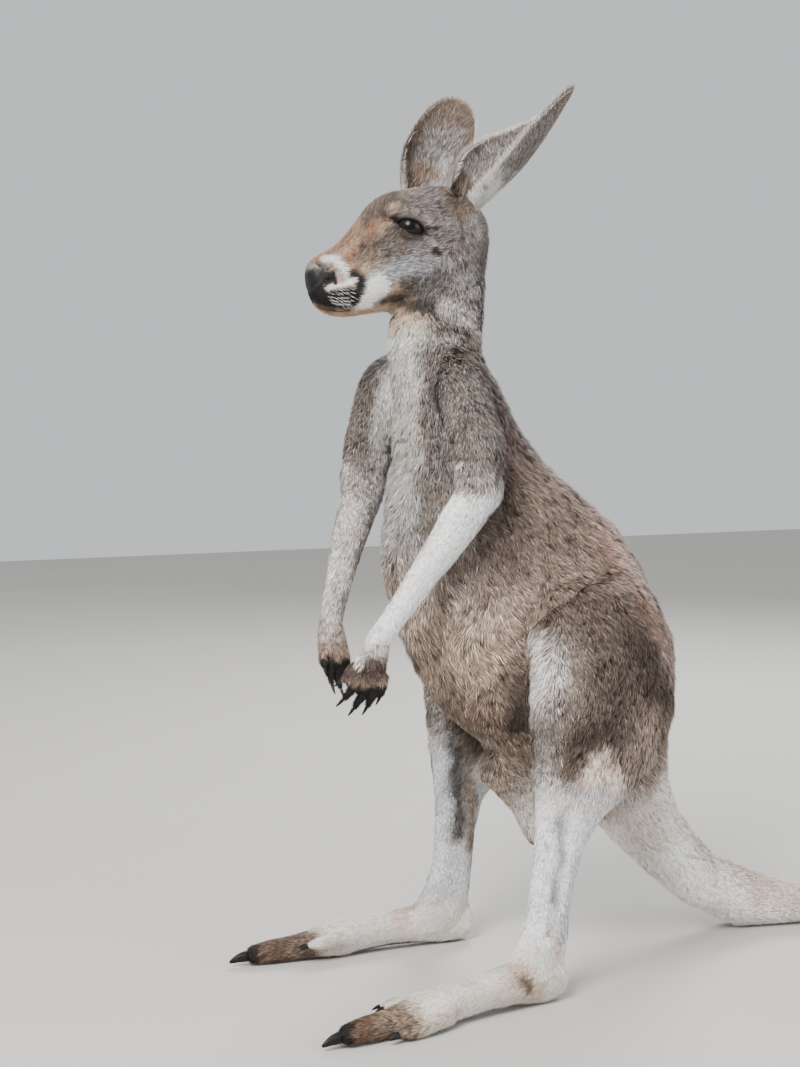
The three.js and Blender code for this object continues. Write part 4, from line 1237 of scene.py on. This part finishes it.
# Share of the hand's height, softness, colour; from the wrist to the tips.
HAND_TONES = {
    "left": [
        (0.93, 0.2, shade(136, 119, 109, 0.5)),
        (0.74, 0.12, shade(86, 72, 65, 0.45)),
        (0.46, 0.06, shade(146, 126, 112, 0.32)),
        (0.4, 0.05, shade(28, 25, 24, 0.18)),
    ],
    "right": [(0.86, 0.18, shade(162, 142, 128, 0.4)), (0.52, 0.05, shade(30, 27, 26, 0.18))],
}
# Distance from the tips of the toes in mm, softness, colour.
TOE_TONES = {
    "left": [(88, 14, shade(150, 131, 115, 0.36)), (42, 9, shade(118, 96, 80, 0.34)),
             (13, 5, shade(36, 31, 28, 0.24))],
    "right": [(88, 14, shade(124, 106, 94, 0.38)), (42, 9, shade(112, 93, 79, 0.34)),
              (13, 5, shade(34, 29, 27, 0.24))],
}
TOE_MIDDLE = {"left": 128, "right": 137}  # mm from the animal's middle to the middle of its long toe
# Colours of an ear: on its hollow side and its outer side.
EAR_TONES = {
    "hollow": shade(108, 103, 100, 0.55),
    "hollow root": shade(132, 125, 120, 0.45),
    "hollow light": shade(204, 204, 208, 0.22),
    "hollow tip": shade(100, 85, 74, 0.4),
    "hollow rim": shade(92, 77, 67, 0.38),
    "edge": shade(214, 206, 198, 0.12),
    "outer": shade(126, 120, 116, 0.42),
    "outer root": shade(224, 221, 218, 0.14),
    "outer tip": shade(140, 120, 106, 0.3),
}
EAR_RIMS = {"left": 0.86, "right": 0.62}  # the share of the hollow's half width where its rim starts


def mark_share(places, spot):
    """How much of a mark shows at each place."""
    away = distance_to_line(*places.T, spot["line"]) / spot["reach"]
    edge = spot["edge"]
    return spot["amount"] * (1 - smooth_step(away, 1 - edge, 1 + edge))


def laid(colour, share, other):
    """The other colour laid over a colour by the share."""
    return colour + share[:, None] * (np.asarray(other) - colour)


def underside(colour, places, normals, shares):
    """The pale front of the neck and chest, and the belly, off the arms, with painted shade on the chest and
    the lower belly.
    """
    drawn = in_table(places)
    height = drawn[:, 2]
    heights, widths, shades = (np.array(column, float) for column in zip(*UNDERSIDE))
    width = np.interp(height, heights, widths) * (1 + 0.1 * mottle(places, 22, 5))
    here = np.stack([np.interp(height, heights, tone) for tone in shades.T], axis=1)
    share = 1 - smooth_step(np.abs(drawn[:, 0]) / width, 0.8, 1.25)
    rearmost = np.where(height < 240, 40, -2)
    share *= smooth_step(-normals[:, 1], -0.25, 0.2) * (drawn[:, 1] < rearmost)
    share *= smooth_step(height, 105, 130)
    arms = share_of(shares, *[name for name in FLESH if kind_of(name) in ("upper_arm", "forearm", "hand")])
    share *= 1 - smooth_step(arms, 0.3, 0.7)
    return laid(colour, share, here)


def hand_and_foot_marks(colour, places, shares, normals):
    """Brown backs and black ends of the fingers; brown toes with black ends, and white inner toes."""
    drawn = in_table(places)
    for side in SIDES:
        low, high = (in_table(corner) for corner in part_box(side + "_hand"))
        hand = share_of(shares, side + "_hand")
        up = (drawn[:, 2] - low[2]) / (high[2] - low[2]) + 0.03 * mottle(places, 6, 8)
        for level, soft, tone in HAND_TONES[side]:
            colour = laid(colour, hand * (1 - smooth_step(up, level - soft, level + soft)), tone)
        low, high = (in_table(corner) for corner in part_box(side + "_foot"))
        foot = share_of(shares, side + "_foot")
        back = drawn[:, 1] - low[1] + 3 * mottle(places, 8, 9)
        for level, soft, tone in TOE_TONES[side]:
            colour = laid(colour, foot * (1 - smooth_step(back, level - soft, level + soft)), tone)
        inward = TOE_MIDDLE[side] - np.abs(drawn[:, 0]) - 0.12 * (back - 70)
        white = foot * smooth_step(inward, 8, 13) * smooth_step(back, 44, 56)
        colour = laid(colour, white * (1 - smooth_step(back, 105, 130)), shade(228, 220, 212, 0.1))
        sole = foot * smooth_step(-normals[:, 2], 0.55, 0.85) * (drawn[:, 2] < 16)
        colour = laid(colour, sole, shade(74, 64, 58, 0.1))
    return colour


def eye_marks(colour, places):
    """The dark bare rims of the lids."""
    for side in SIDES.values():
        near, opening = round_eye(places, side)
        colour = laid(colour, near * smooth_step(opening, -0.2, -0.1), shade(32, 27, 25, 0.05))
    return colour


def wander(places, size, seeds, reach):
    """Random offsets that change over size mm, to make the marks' edges uneven."""
    return np.stack([mottle(places, size, seed) for seed in seeds], axis=1) * reach


def markings(places, normals, shares):
    """The coat's colour at each place as linear light, and how strongly its single tufts differ."""
    colour = shares @ np.array([GROUND[kind_of(name)] for name in FLESH])
    drawn = in_table(places)
    wandering = wander(places, 9, (1, 2, 3), 1.6)
    one_side = drawn + wandering
    both_sides = np.abs(drawn * (1, 0, 0)) + drawn * (0, 1, 1) + wandering
    colour = underside(colour, places, normals, shares)
    for spot in BODY_MARKS:
        share = mark_share(one_side if spot["one sided"] else both_sides, spot)
        colour = laid(colour, share, spot["colour"])
    colour = hand_and_foot_marks(colour, places, shares, normals)
    on = smooth_step(share_of(shares, "head") + share_of(shares, "neck") * 0.4, 0.15, 0.45)
    spots = half_head_places(places) + wander(places, 5, (4, 6, 7), 0.5)
    for spot in HEAD_MARKS:
        colour = laid(colour, on * mark_share(spots, spot), spot["colour"])
    colour = eye_marks(colour, places)
    cloud = 1 + 0.05 * mottle(places, 34, 21) + 0.04 * mottle(places, 9, 22)
    colour[:, :3] = (colour[:, :3] * cloud[:, None]) ** DEEPENING
    return np.clip(colour, 0.003, 0.95)


def ear_hollow(name, places, along, across, wandering):
    """The grizzled dark hollow of an ear, pale at its root, with brown rim and tip."""
    rim_start = EAR_RIMS[name]
    rim = np.abs(across) + wandering - 0.25 * (along - 0.4)
    rim = smooth_step(rim, rim_start - 0.12, rim_start + 0.12) * smooth_step(along, 0.15, 0.4)
    streak = np.exp(-(((across - 0.15) / 0.2) ** 2)) * (1 - smooth_step(along, 0.36, 0.6))
    fringe = smooth_step(np.abs(across), 0.93, 0.985)
    if name == "right":
        fringe *= 0.7 * (1 - smooth_step(along, 0.2, 0.35))
    colour = np.tile(EAR_TONES["hollow"], (len(places), 1))
    colour = laid(colour, 1 - smooth_step(along + wandering, 0.2, 0.4), EAR_TONES["hollow root"])
    colour = laid(colour, streak, EAR_TONES["hollow light"])
    colour = laid(colour, rim, EAR_TONES["hollow rim"])
    colour = laid(colour, smooth_step(along + wandering, 0.66, 0.86), EAR_TONES["hollow tip"])
    return laid(colour, fringe, EAR_TONES["edge"])


def ear_outside(places, along, across, wandering):
    """The back of an ear, white at its root and pale at its edge."""
    colour = np.tile(EAR_TONES["outer"], (len(places), 1))
    colour = laid(colour, 1 - smooth_step(along + wandering, 0.12, 0.36), EAR_TONES["outer root"])
    colour = laid(colour, smooth_step(along + wandering, 0.7, 0.95), EAR_TONES["outer tip"])
    return laid(colour, smooth_step(np.abs(across), 0.9, 0.97), EAR_TONES["edge"])


def shell_markings(shell, places, normals, shares):
    """The same for the places of a shell, which may be an ear."""
    if not shell.ear:
        return markings(places, normals, shares)
    along, across, hollow = on_ear(shell.ear, places, normals)
    wandering = 0.06 * mottle(places, 7, 31)
    inside = ear_hollow(shell.ear, places, along, across, wandering)
    colour = np.where(hollow[:, None], inside, ear_outside(places, along, across, wandering))
    for spot in EAR_MARKS:
        colour = laid(colour, mark_share(in_table(places), spot), spot["colour"])
    return colour


# ---- meshes ----
# Corners of a tuft: its place along (0 root, 1 middle, 2 tip), side and ridge; then its faces. A long
# tuft is a leaf bent across its middle, a short one a wedge.
BLADE = {
    "long": ([(0, 0, 0), (1, -1, 0), (1, 1, 0), (2, 0, 0)], [(0, 2, 1), (1, 2, 3)]),
    "short": ([(0, -1, 0), (0, 0, 0.3), (0, 1, 0), (2, 0, 0)], [(0, 1, 3), (1, 2, 3)]),
}
PATCH = 0.003  # the size of a tuft on its map
MAP_EDGE, MAP_SIZE = 0.01, 0.975  # the margin and the width of the map of a piece of coat


def set_all(items, key, values, kind=np.float32):
    items.foreach_set(key, np.ascontiguousarray(values, kind).ravel())


def make_mesh(name, points, faces, colours, maps=None):
    """A smooth mesh object of triangles or quads, with colours at its points and a map at its corners."""
    mesh = bpy.data.meshes.new(name)
    sizes = np.concatenate([np.full(len(f), f.shape[1]) for f in faces])
    corners = np.concatenate([f.ravel() for f in faces])
    mesh.vertices.add(len(points))
    set_all(mesh.vertices, "co", points)
    mesh.loops.add(len(corners))
    set_all(mesh.loops, "vertex_index", corners, np.int32)
    mesh.polygons.add(len(sizes))
    set_all(mesh.polygons, "loop_start", np.cumsum(sizes) - sizes, np.int32)
    set_all(mesh.polygons, "loop_total", sizes, np.int32)
    set_all(mesh.polygons, "use_smooth", np.ones(len(sizes)), bool)
    layer = mesh.color_attributes.new("marking", "FLOAT_COLOR", "POINT")
    set_all(layer.data, "color", np.concatenate([colours, np.ones((len(colours), 1))], axis=1))
    if maps is not None:
        set_all(mesh.uv_layers.new(name="OFBake").data, "uv", maps[corners])
    mesh.update()
    mesh.validate()
    made = bpy.data.objects.new(name, mesh)
    bpy.context.scene.collection.objects.link(made)
    return made


def add_piece(made, material, slot, *replaced):
    """Puts a made mesh on the model, in its material, in place of the CAD nodes it stands for."""
    made.data.materials.append(material)
    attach(made, "root")
    if replaced:
        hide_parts(*replaced)


def unwrapped(places, line):
    """Each place on a map of the skin: its angle about a line, and how far along the line it is."""
    way, far, out = along_line(places, line)
    first = tangent(np.tile([1.0, 0.0, 0.0], (len(places), 1)), way)
    second = np.cross(way, first)
    angle = np.arctan2((out * second).sum(axis=1), (out * first).sum(axis=1))
    spread = np.stack([angle, far], axis=1)
    low, high = spread.min(axis=0), spread.max(axis=0)
    return MAP_EDGE + (spread - low) / np.maximum(high - low, 1e-6) * MAP_SIZE


def tuft_mesh(name, tufts, chosen, shape, line):
    """One piece of coat: the chosen tufts of a shell, as blades of one of the shapes."""
    corners, faces = BLADE[shape]
    size = (len(chosen), len(corners))
    points, colours, maps = np.empty((*size, 3)), np.empty((*size, 3)), np.empty((*size, 2))
    roots = unwrapped(tufts.places[chosen], line)
    shades, lean = tuft_colours(tufts, chosen)
    half = tufts.width[chosen][:, None] / 2
    for i, (stage, side, ridge) in enumerate(corners):
        points[:, i] = tufts.lines[stage][chosen]
        points[:, i] += tufts.side[chosen] * side * half + tufts.normals[chosen] * ridge * 2 * half
        colours[:, i] = shades[stage] * np.exp(side * lean)
        maps[:, i] = roots + np.array([side * 0.45, stage * 0.5]) * PATCH
    triangles = (np.arange(size[0])[:, None, None] * size[1] + np.array(faces)).reshape(-1, 3)
    return make_mesh(name, points.reshape(-1, 3), [triangles], colours.reshape(-1, 3), maps.reshape(-1, 2))


def tuft_colours(tufts, chosen):
    """The colours of a tuft's root, middle and tip, and how much lighter one side of it is."""
    count = len(chosen)
    marked = shell_markings(tufts.shell, tufts.places[chosen], tufts.normals[chosen], tufts.shares[chosen])
    base, grizzle = marked[:, :3], marked[:, 3]
    light = np.exp(chance.normal(0, 1, count) * grizzle * 1.2)[:, None]
    lock = chance.normal(0, 1, tufts.lock.max() + 1)[tufts.lock[chosen]]
    lock = np.exp(lock * grizzle * 0.25)[:, None]
    # painted shade and light: tufts darken towards the edges of their locks, where shade falls between them,
    # and lighten in the locks' middles
    edge = np.clip(1 + (0.2 - 0.5 * tufts.away[chosen]) * grizzle / 0.25, 0.35, 1.4)[:, None]
    warm = 1 + chance.normal(0, 0.025, count)[:, None] * np.array([1, 0, -1.4])
    body = np.clip(base * light * lock * edge * warm, 0.003, 0.95)
    # the root is darker by its underfur and by painted shade between the hairs
    root = body * darker_underfur_and_shade(grizzle)
    lean = chance.normal(0, 1, count)[:, None] * (0.03 + grizzle * 0.8)[:, None]
    band = 1.12 + grizzle * chance.uniform(-0.9, 1.3, count)
    tip = np.clip(body * band[:, None] + 0.008, 0, 0.95)
    return (root, body, tip), lean


def darker_underfur_and_shade(grizzle):
    """How much darker the coat is down between its hairs, partly by its darker underfur and partly by
    painted shade: less where the hairs are all alike.
    """
    return (0.92 - 0.9 * np.clip(grizzle, 0, 0.42))[:, None]


# ---- materials ----
def new_material(name, roughness, specular=0.5):
    material = bpy.data.materials.new(name)
    material.use_nodes = True
    tree = material.node_tree
    shader = tree.nodes["Principled BSDF"]
    shader.inputs["Roughness"].default_value = roughness
    shader.inputs["Specular IOR Level"].default_value = specular
    return material, tree, shader


def add_node(tree, kind, *links, **values):
    """A node with values on its inputs, and links into them: pairs of an output and an input's name."""
    node = tree.nodes.new(kind)
    for name, value in values.items():
        node.inputs[name.replace("_", " ")].default_value = value
    for output, name in links:
        tree.links.new(output, node.inputs[name])
    return node


def add_noise(tree, scale, detail=4.0, stretch=(1, 1, 1)):
    """Noise in the object's own space; its output runs from 0 to 1."""
    place = add_node(tree, "ShaderNodeTexCoord").outputs["Object"]
    mapping = add_node(tree, "ShaderNodeMapping", (place, "Vector"), Scale=stretch)
    noise = (mapping.outputs["Vector"], "Vector")
    return add_node(tree, "ShaderNodeTexNoise", noise, Scale=scale, Detail=detail).outputs["Fac"]


def ranged(tree, value, low, high):
    node = add_node(tree, "ShaderNodeMapRange", (value, "Value"), To_Min=low, To_Max=high)
    return node.outputs["Result"]


def add_ramp(tree, shader, value, *stops):
    """The base colour, from a value between 0 and 1 and two stops: place and linear colour."""
    ramp = add_node(tree, "ShaderNodeValToRGB", (value, "Fac"))
    for element, (place, colour) in zip(ramp.color_ramp.elements, stops):
        element.position = place
        element.color = (*colour, 1)
    tree.links.new(ramp.outputs["Color"], shader.inputs["Base Color"])


def add_bump(tree, shader, height, strength, distance):
    bump = add_node(tree, "ShaderNodeBump", (height, "Height"), Strength=strength, Distance=distance)
    tree.links.new(bump.outputs["Normal"], shader.inputs["Normal"])


def painted_material(name, scale, low, high, roughness, specular=0.5):
    """The colours held at the mesh's points, made uneven by noise."""
    material, tree, shader = new_material(name, roughness, specular)
    marking = add_node(tree, "ShaderNodeAttribute")
    marking.attribute_name = "marking"
    mix = tree.nodes.new("ShaderNodeVectorMath")
    mix.operation = "SCALE"
    tree.links.new(marking.outputs["Color"], mix.inputs[0])
    tree.links.new(ranged(tree, add_noise(tree, scale), low, high), mix.inputs["Scale"])
    tree.links.new(mix.outputs["Vector"], shader.inputs["Base Color"])
    return material, tree, shader


def coat_material():
    return painted_material("coat", 420, 0.5, 1.5, 0.72, 0.3)[0]


def whisker_material():
    return painted_material("whisker", 400, 0.85, 1.1, 0.45)[0]


def skin_material():
    material, tree, shader = painted_material("skin", 300, 0.7, 1.2, 0.62, 0.35)
    add_bump(tree, shader, add_noise(tree, 900), 0.5, 0.0006)
    return material


def nose_material():
    """Wet-looking leather with fine round grains."""
    material, tree, shader = painted_material("nose", 700, 0.7, 1.3, 0.45, 0.3)
    place = add_node(tree, "ShaderNodeTexCoord").outputs["Object"]
    grains = add_node(tree, "ShaderNodeTexVoronoi", (place, "Vector"), Scale=900)
    add_bump(tree, shader, grains.outputs["Distance"], 0.7, 0.0004)
    return material


def eye_material():
    material, _, shader = painted_material("eye", 1500, 0.85, 1.15, 0.3, 0.12)
    shader.inputs["Coat Weight"].default_value = 0.16
    shader.inputs["Coat Roughness"].default_value = 0.03
    return material


def claw_material():
    """Dark horn, streaked and a little worn."""
    material, tree, shader = new_material("claw", 0.5, 0.25)
    streaks = ranged(tree, add_noise(tree, 260, stretch=(3, 0.6, 1)), 0, 1)
    add_ramp(tree, shader, streaks, (0.35, srgb(15, 13, 12)), (0.75, srgb(36, 31, 28)))
    add_bump(tree, shader, add_noise(tree, 500), 0.2, 0.0002)
    return material


def floor_material():
    material, tree, shader = new_material("studio_floor", 0.9)
    cloud = ranged(tree, add_noise(tree, 1.6, 8), 0, 1)
    add_ramp(tree, shader, cloud, (0, (0.50, 0.485, 0.46)), (1, (0.55, 0.535, 0.51)))
    return material


# ---- building ----
ADAPTIVITY = 0.02  # how far the flatter parts of the skin are made of larger faces, 0 to 1


def body_shells():
    shells = []
    for name in ["body", *JOINS]:
        field = shape_body() if name == "body" else shape_end(name)
        if name == "head":
            shape_face(field)
        points, triangles, quads = field.polygons(ADAPTIVITY)
        shells.append(Shell(name, points, triangles.astype(int), quads.astype(int), field))
    for name in EARS:
        points, quads = ear_mesh(name)
        shells.append(Shell(name + "_ear", points, np.zeros((0, 3), int), quads))
    return shells


def build_skin(shells, material):
    points, faces, colours = [], [[], []], []
    offset = 0
    for shell in shells:
        points.append(shell.points)
        marked = shell_markings(shell, shell.points, shell.normals, shell.shares)
        # the skin under the coat is darkened by its underfur colour and by painted shade
        colours.append(marked[:, :3] * darker_underfur_and_shade(marked[:, 3]))
        for kind in (0, 1):
            faces[kind].append(shell.faces[kind] + offset)
        offset += len(shell.points)
    joined = [np.concatenate(kind) for kind in faces]
    skin = make_mesh("skin", np.concatenate(points), joined, np.concatenate(colours))
    add_piece(skin, material, "coat", *FLESH)


PIECES = {
    "neck": "neck", "trunk": "trunk", "tail_base": "rump_tail", "tail_middle": "rump_tail",
    "tail_end": "tail_end", "upper_arm": "arm", "forearm": "arm", "hand": "hand", "thigh": "haunch",
    "shin": "leg", "foot": "foot", "head": "head", "ear": "ear",
}
SHORT = {"head", "ear", "hand", "foot"}
FEWEST_TUFTS = 40  # that make a piece of coat
MOST_TRIANGLES = 180000  # in one piece of coat


def build_coat(shells, material):
    """The tufts of every shell, in a piece for each part of each side of the body."""
    for shell in shells:
        tufts = Tufts(shell, 1.0)
        main = tufts.shares.argmax(axis=1)
        piece_of = np.array([PIECES[kind_of(name)] for name in FLESH])[main]
        left = tufts.places[:, 0] > placed((0, 0, 0))[0]
        for piece in sorted(set(PIECES.values())):
            for side in SIDES:
                chosen = np.flatnonzero((piece_of == piece) & (left == (side == "left")))
                if len(chosen) < FEWEST_TUFTS:
                    continue
                shape = "short" if piece in SHORT else "long"
                line = line_of(FLESH[np.bincount(main[chosen]).argmax()])
                build_pieces(f"coat_{shell.name}_{piece}_{side}", tufts, chosen, shape, line, material)


def build_pieces(name, tufts, chosen, shape, line, material):
    """The chosen tufts as one mesh, or as several from the top down where they would be too many."""
    count = math.ceil(len(chosen) * len(BLADE[shape][1]) / MOST_TRIANGLES)
    chosen = chosen[np.argsort(-tufts.places[chosen][:, 2])] if count > 1 else chosen
    for number, share in enumerate(np.array_split(chosen, count)):
        piece = name if count == 1 else f"{name}_{number + 1}"
        add_piece(tuft_mesh(piece, tufts, share, shape, line), material, "coat")


def build_eyes(material):
    for name, side in SIDES.items():
        points, quads, colours = eyeball(side)
        eye = make_mesh(name + "_eyeball", points, [quads], colours)
        add_piece(eye, material, "eye", name + "_eye")


def build_nose(head, material):
    points, triangles, quads = nose_field(head.field).polygons(ADAPTIVITY)
    spots = half_head_places(points.astype(float))
    high = smooth_step(spots[:, 2] + 1.6 * mottle(points, 2, 61), 806, 812)
    inner = 1 - smooth_step(distance_to_line(*spots.T, np.array(NOSTRIL, float)), 1.5, 3.5)
    colours = np.tile(srgb(15, 13, 13), (len(points), 1))
    colours = laid(colours, high, srgb(120, 112, 108))
    colours = laid(colours, inner, srgb(14, 12, 12))
    nose = make_mesh("nose", points, [triangles, quads], colours)
    add_piece(nose, material, "nose", "nose_pad")


def build_claws(material):
    """The claws keep their own nodes, rounded and in dark horn."""
    for claw in (nodes[name] for name in sorted(nodes) if "_claw_" in name):
        claw.modifiers.new("one_surface", "WELD").merge_threshold = 1e-5
        rounding = claw.modifiers.new("rounding", "SUBSURF")
        rounding.levels = 2
        rounding.render_levels = 2
        for slot in claw.material_slots:
            slot.material = material


# ---- whiskers and lashes ----
BRISTLE_RINGS = ((0.0, 1.0), (0.4, 0.9), (0.75, 0.6))  # share of the length, share of the thickness
CORNERS = 3  # of a bristle's section
# Rows of the whisker field: the first and last places, ahead and height on the head, and how many.
WHISKER_ROWS = [
    ((143, 787), (121, 788), 6),
    ((146, 782), (119, 783), 7),
    ((147, 777), (118, 778), 8),
    ((146, 772), (118, 773), 7),
    ((142, 768), (121, 768), 6),
]
WHISKER_LEFT = 26  # from the middle of the head to where the search for a whisker's root starts
# Where the long hairs over the eye and on the cheek grow: middle, how many, and how far they scatter.
BROW_HAIRS = [((77, 29, 878), 7, 3.0), ((31, 47, 828), 4, 1.5)]


def on_skin(head, ahead, left, height, steps):
    """(place, way out) of the head's skin near a place on the head, reached in some steps."""
    place = placed(head_point(ahead, left, height))[None, :]
    for _ in range(steps):
        place = place - head.field.slope(place) * head.field.at(place)[:, None]
    return place[0], head.field.slope(place)[0]


def bristle(root, way, length, thick, sag):
    """(points, triangles) of one stiff hair: a thin three-sided horn that sags towards its tip."""
    way = way / np.linalg.norm(way)
    first = np.cross(way, (0.3, 0.2, 0.93))
    first = first / np.linalg.norm(first)
    second = np.cross(way, first)
    turns = [2 * math.pi * corner / CORNERS for corner in range(CORNERS)]
    after = [(corner + 1) % CORNERS for corner in range(CORNERS)]
    points, faces = [], []
    for share, width in BRISTLE_RINGS:
        middle = root + way * length * share - np.array([0, 0, sag * length * share**2])
        for turn in turns:
            points.append(middle + (first * math.cos(turn) + second * math.sin(turn)) * thick * width)
    last = CORNERS * (len(BRISTLE_RINGS) - 1)
    for ring in range(0, last, CORNERS):
        for a, b in zip(range(ring, ring + CORNERS), (ring + corner for corner in after)):
            faces += [(a, b, b + CORNERS), (a, b + CORNERS, a + CORNERS)]
    faces += [(last + corner, last + after[corner], len(points)) for corner in range(CORNERS)]
    points.append(root + way * length - np.array([0, 0, sag * length]))
    return points, faces


def whisker_hairs(head, side):
    """The short white bristles of the whisker field, and a few long fine whiskers."""
    hairs = []
    for first, last, count in WHISKER_ROWS:
        for share in (i / (count - 1) for i in range(count)):
            ahead, height = np.array(first) * (1 - share) + np.array(last) * share
            ahead += chance.normal(0, 0.5)
            height += chance.normal(0, 0.4)
            spot, out = on_skin(head, ahead, side * WHISKER_LEFT, height, 8)
            back = head_direction(-0.9, 0.1 * side, -0.15 - 0.25 * chance.random())
            way = back + out * 0.28
            hairs.append((spot, way, chance.uniform(4.5, 7) * MM, 0.42 * MM, 0.05, srgb(244, 242, 238)))
            if chance.random() < 0.4:
                way = back + out * 0.9
                tone = srgb(230, 226, 218) if chance.random() < 0.5 else srgb(40, 34, 30)
                hairs.append((spot, way, chance.uniform(16, 30) * MM, 0.13 * MM, 0.15, tone))
    return hairs


def brow_hairs(head, side):
    hairs = []
    for (ahead, left, height), count, reach in BROW_HAIRS:
        for _ in range(count):
            shifts = chance.normal(0, reach), chance.normal(0, reach)
            spot, out = on_skin(head, ahead + shifts[0], side * left, height + shifts[1], 6)
            way = out + head_direction(-0.6, 0, 0.1)
            hairs.append((spot, way, chance.uniform(10, 18) * MM, 0.14 * MM, 0.1, srgb(40, 32, 28)))
    return hairs


def lashes(side):
    """The lashes of the upper lid."""
    look, back, up = eye_axes(side)
    hairs = []
    for across in np.linspace(-0.82, 0.9, 46) * EYE_CORNER:
        across = across + chance.normal(0, 0.012)
        edge = LID_OPEN * (1 - abs(across / EYE_CORNER) ** UPPER_CURVE)
        height = corner_height(across) + edge + 0.03
        flat = look * math.cos(across) + back * math.sin(across)
        out = flat * math.cos(height) + up * math.sin(height)
        root = eye_centre(side) + out * (EYE_RADIUS + LID_THICKNESS * 0.8) * MM
        way = out * 0.8 + back * (0.25 + 0.5 * math.sin(across)) + up * 0.15
        hairs.append((root, way, chance.uniform(3.5, 6) * MM, 0.14 * MM, 0.3, srgb(26, 21, 19)))
    return hairs


def build_bristles(head, material):
    for name, side in SIDES.items():
        points, faces, colours = [], [], []
        for *hair, tone in whisker_hairs(head, side) + brow_hairs(head, side) + lashes(side):
            own_points, own_faces = bristle(*hair)
            faces.append(np.array(own_faces) + len(points))
            points += own_points
            colours += [tone] * len(own_points)
        made = make_mesh(name + "_bristles", np.array(points), [np.concatenate(faces)], np.array(colours))
        add_piece(made, material, "coat")


# ---- room, light and camera ----
# Place, what it is aimed at, width, power and colour of each lamp.
LAMPS = {
    "key": ((1.4, -2.4, 2.6), (0, -0.1, 0.55), 1.6, 186, (1.0, 0.97, 0.93)),
    "fill": ((2.4, 1.2, 1.5), (0, 0, 0.5), 2.0, 39, (0.93, 0.96, 1.0)),
    "rim": ((-1.8, 1.6, 2.4), (0, 0, 0.6), 1.5, 92, (1, 1, 1)),
}


def put(name, data, place, way):
    """A lamp or camera in the scene, looking along a way."""
    made = bpy.data.objects.new(name, data)
    made.location = place
    made.rotation_mode = "QUATERNION"
    made.rotation_quaternion = Vector(way).to_track_quat("-Z", "Y")
    bpy.context.scene.collection.objects.link(made)
    return made


def build_room():
    bpy.ops.mesh.primitive_plane_add(size=12, location=(0, 0, 0))
    floor = bpy.context.object
    floor.name = "studio_floor"
    floor.data.materials.append(floor_material())
    world = bpy.data.worlds.new("studio")
    world.use_nodes = True
    world.node_tree.nodes["Background"].inputs["Color"].default_value = (0.86, 0.88, 0.9, 1)
    world.node_tree.nodes["Background"].inputs["Strength"].default_value = 0.82
    bpy.context.scene.world = world
    for name, (place, aim, width, power, colour) in LAMPS.items():
        data = bpy.data.lights.new(name, "AREA")
        data.shape = "DISK"
        data.size = width
        data.energy = power
        data.color = colour
        put(name, data, place, Vector(aim) - Vector(place))


def build_camera():
    """A view from the animal's front left, at the height of its head."""
    data = bpy.data.cameras.new("camera")
    data.lens = 57.36
    data.sensor_width = 36
    tilt = math.tan(math.radians(3.82))
    bpy.context.scene.camera = put("camera", data, (1.6588, -1.3580, 0.645), (-0.875, 0.485, -tilt))


# ---- the whole ----
shells = body_shells()
head_shell = next(shell for shell in shells if shell.name == "head")
build_skin(shells, skin_material())
build_coat(shells, coat_material())
build_nose(head_shell, nose_material())
build_eyes(eye_material())
build_claws(claw_material())
build_bristles(head_shell, whisker_material())
build_room()
build_camera()
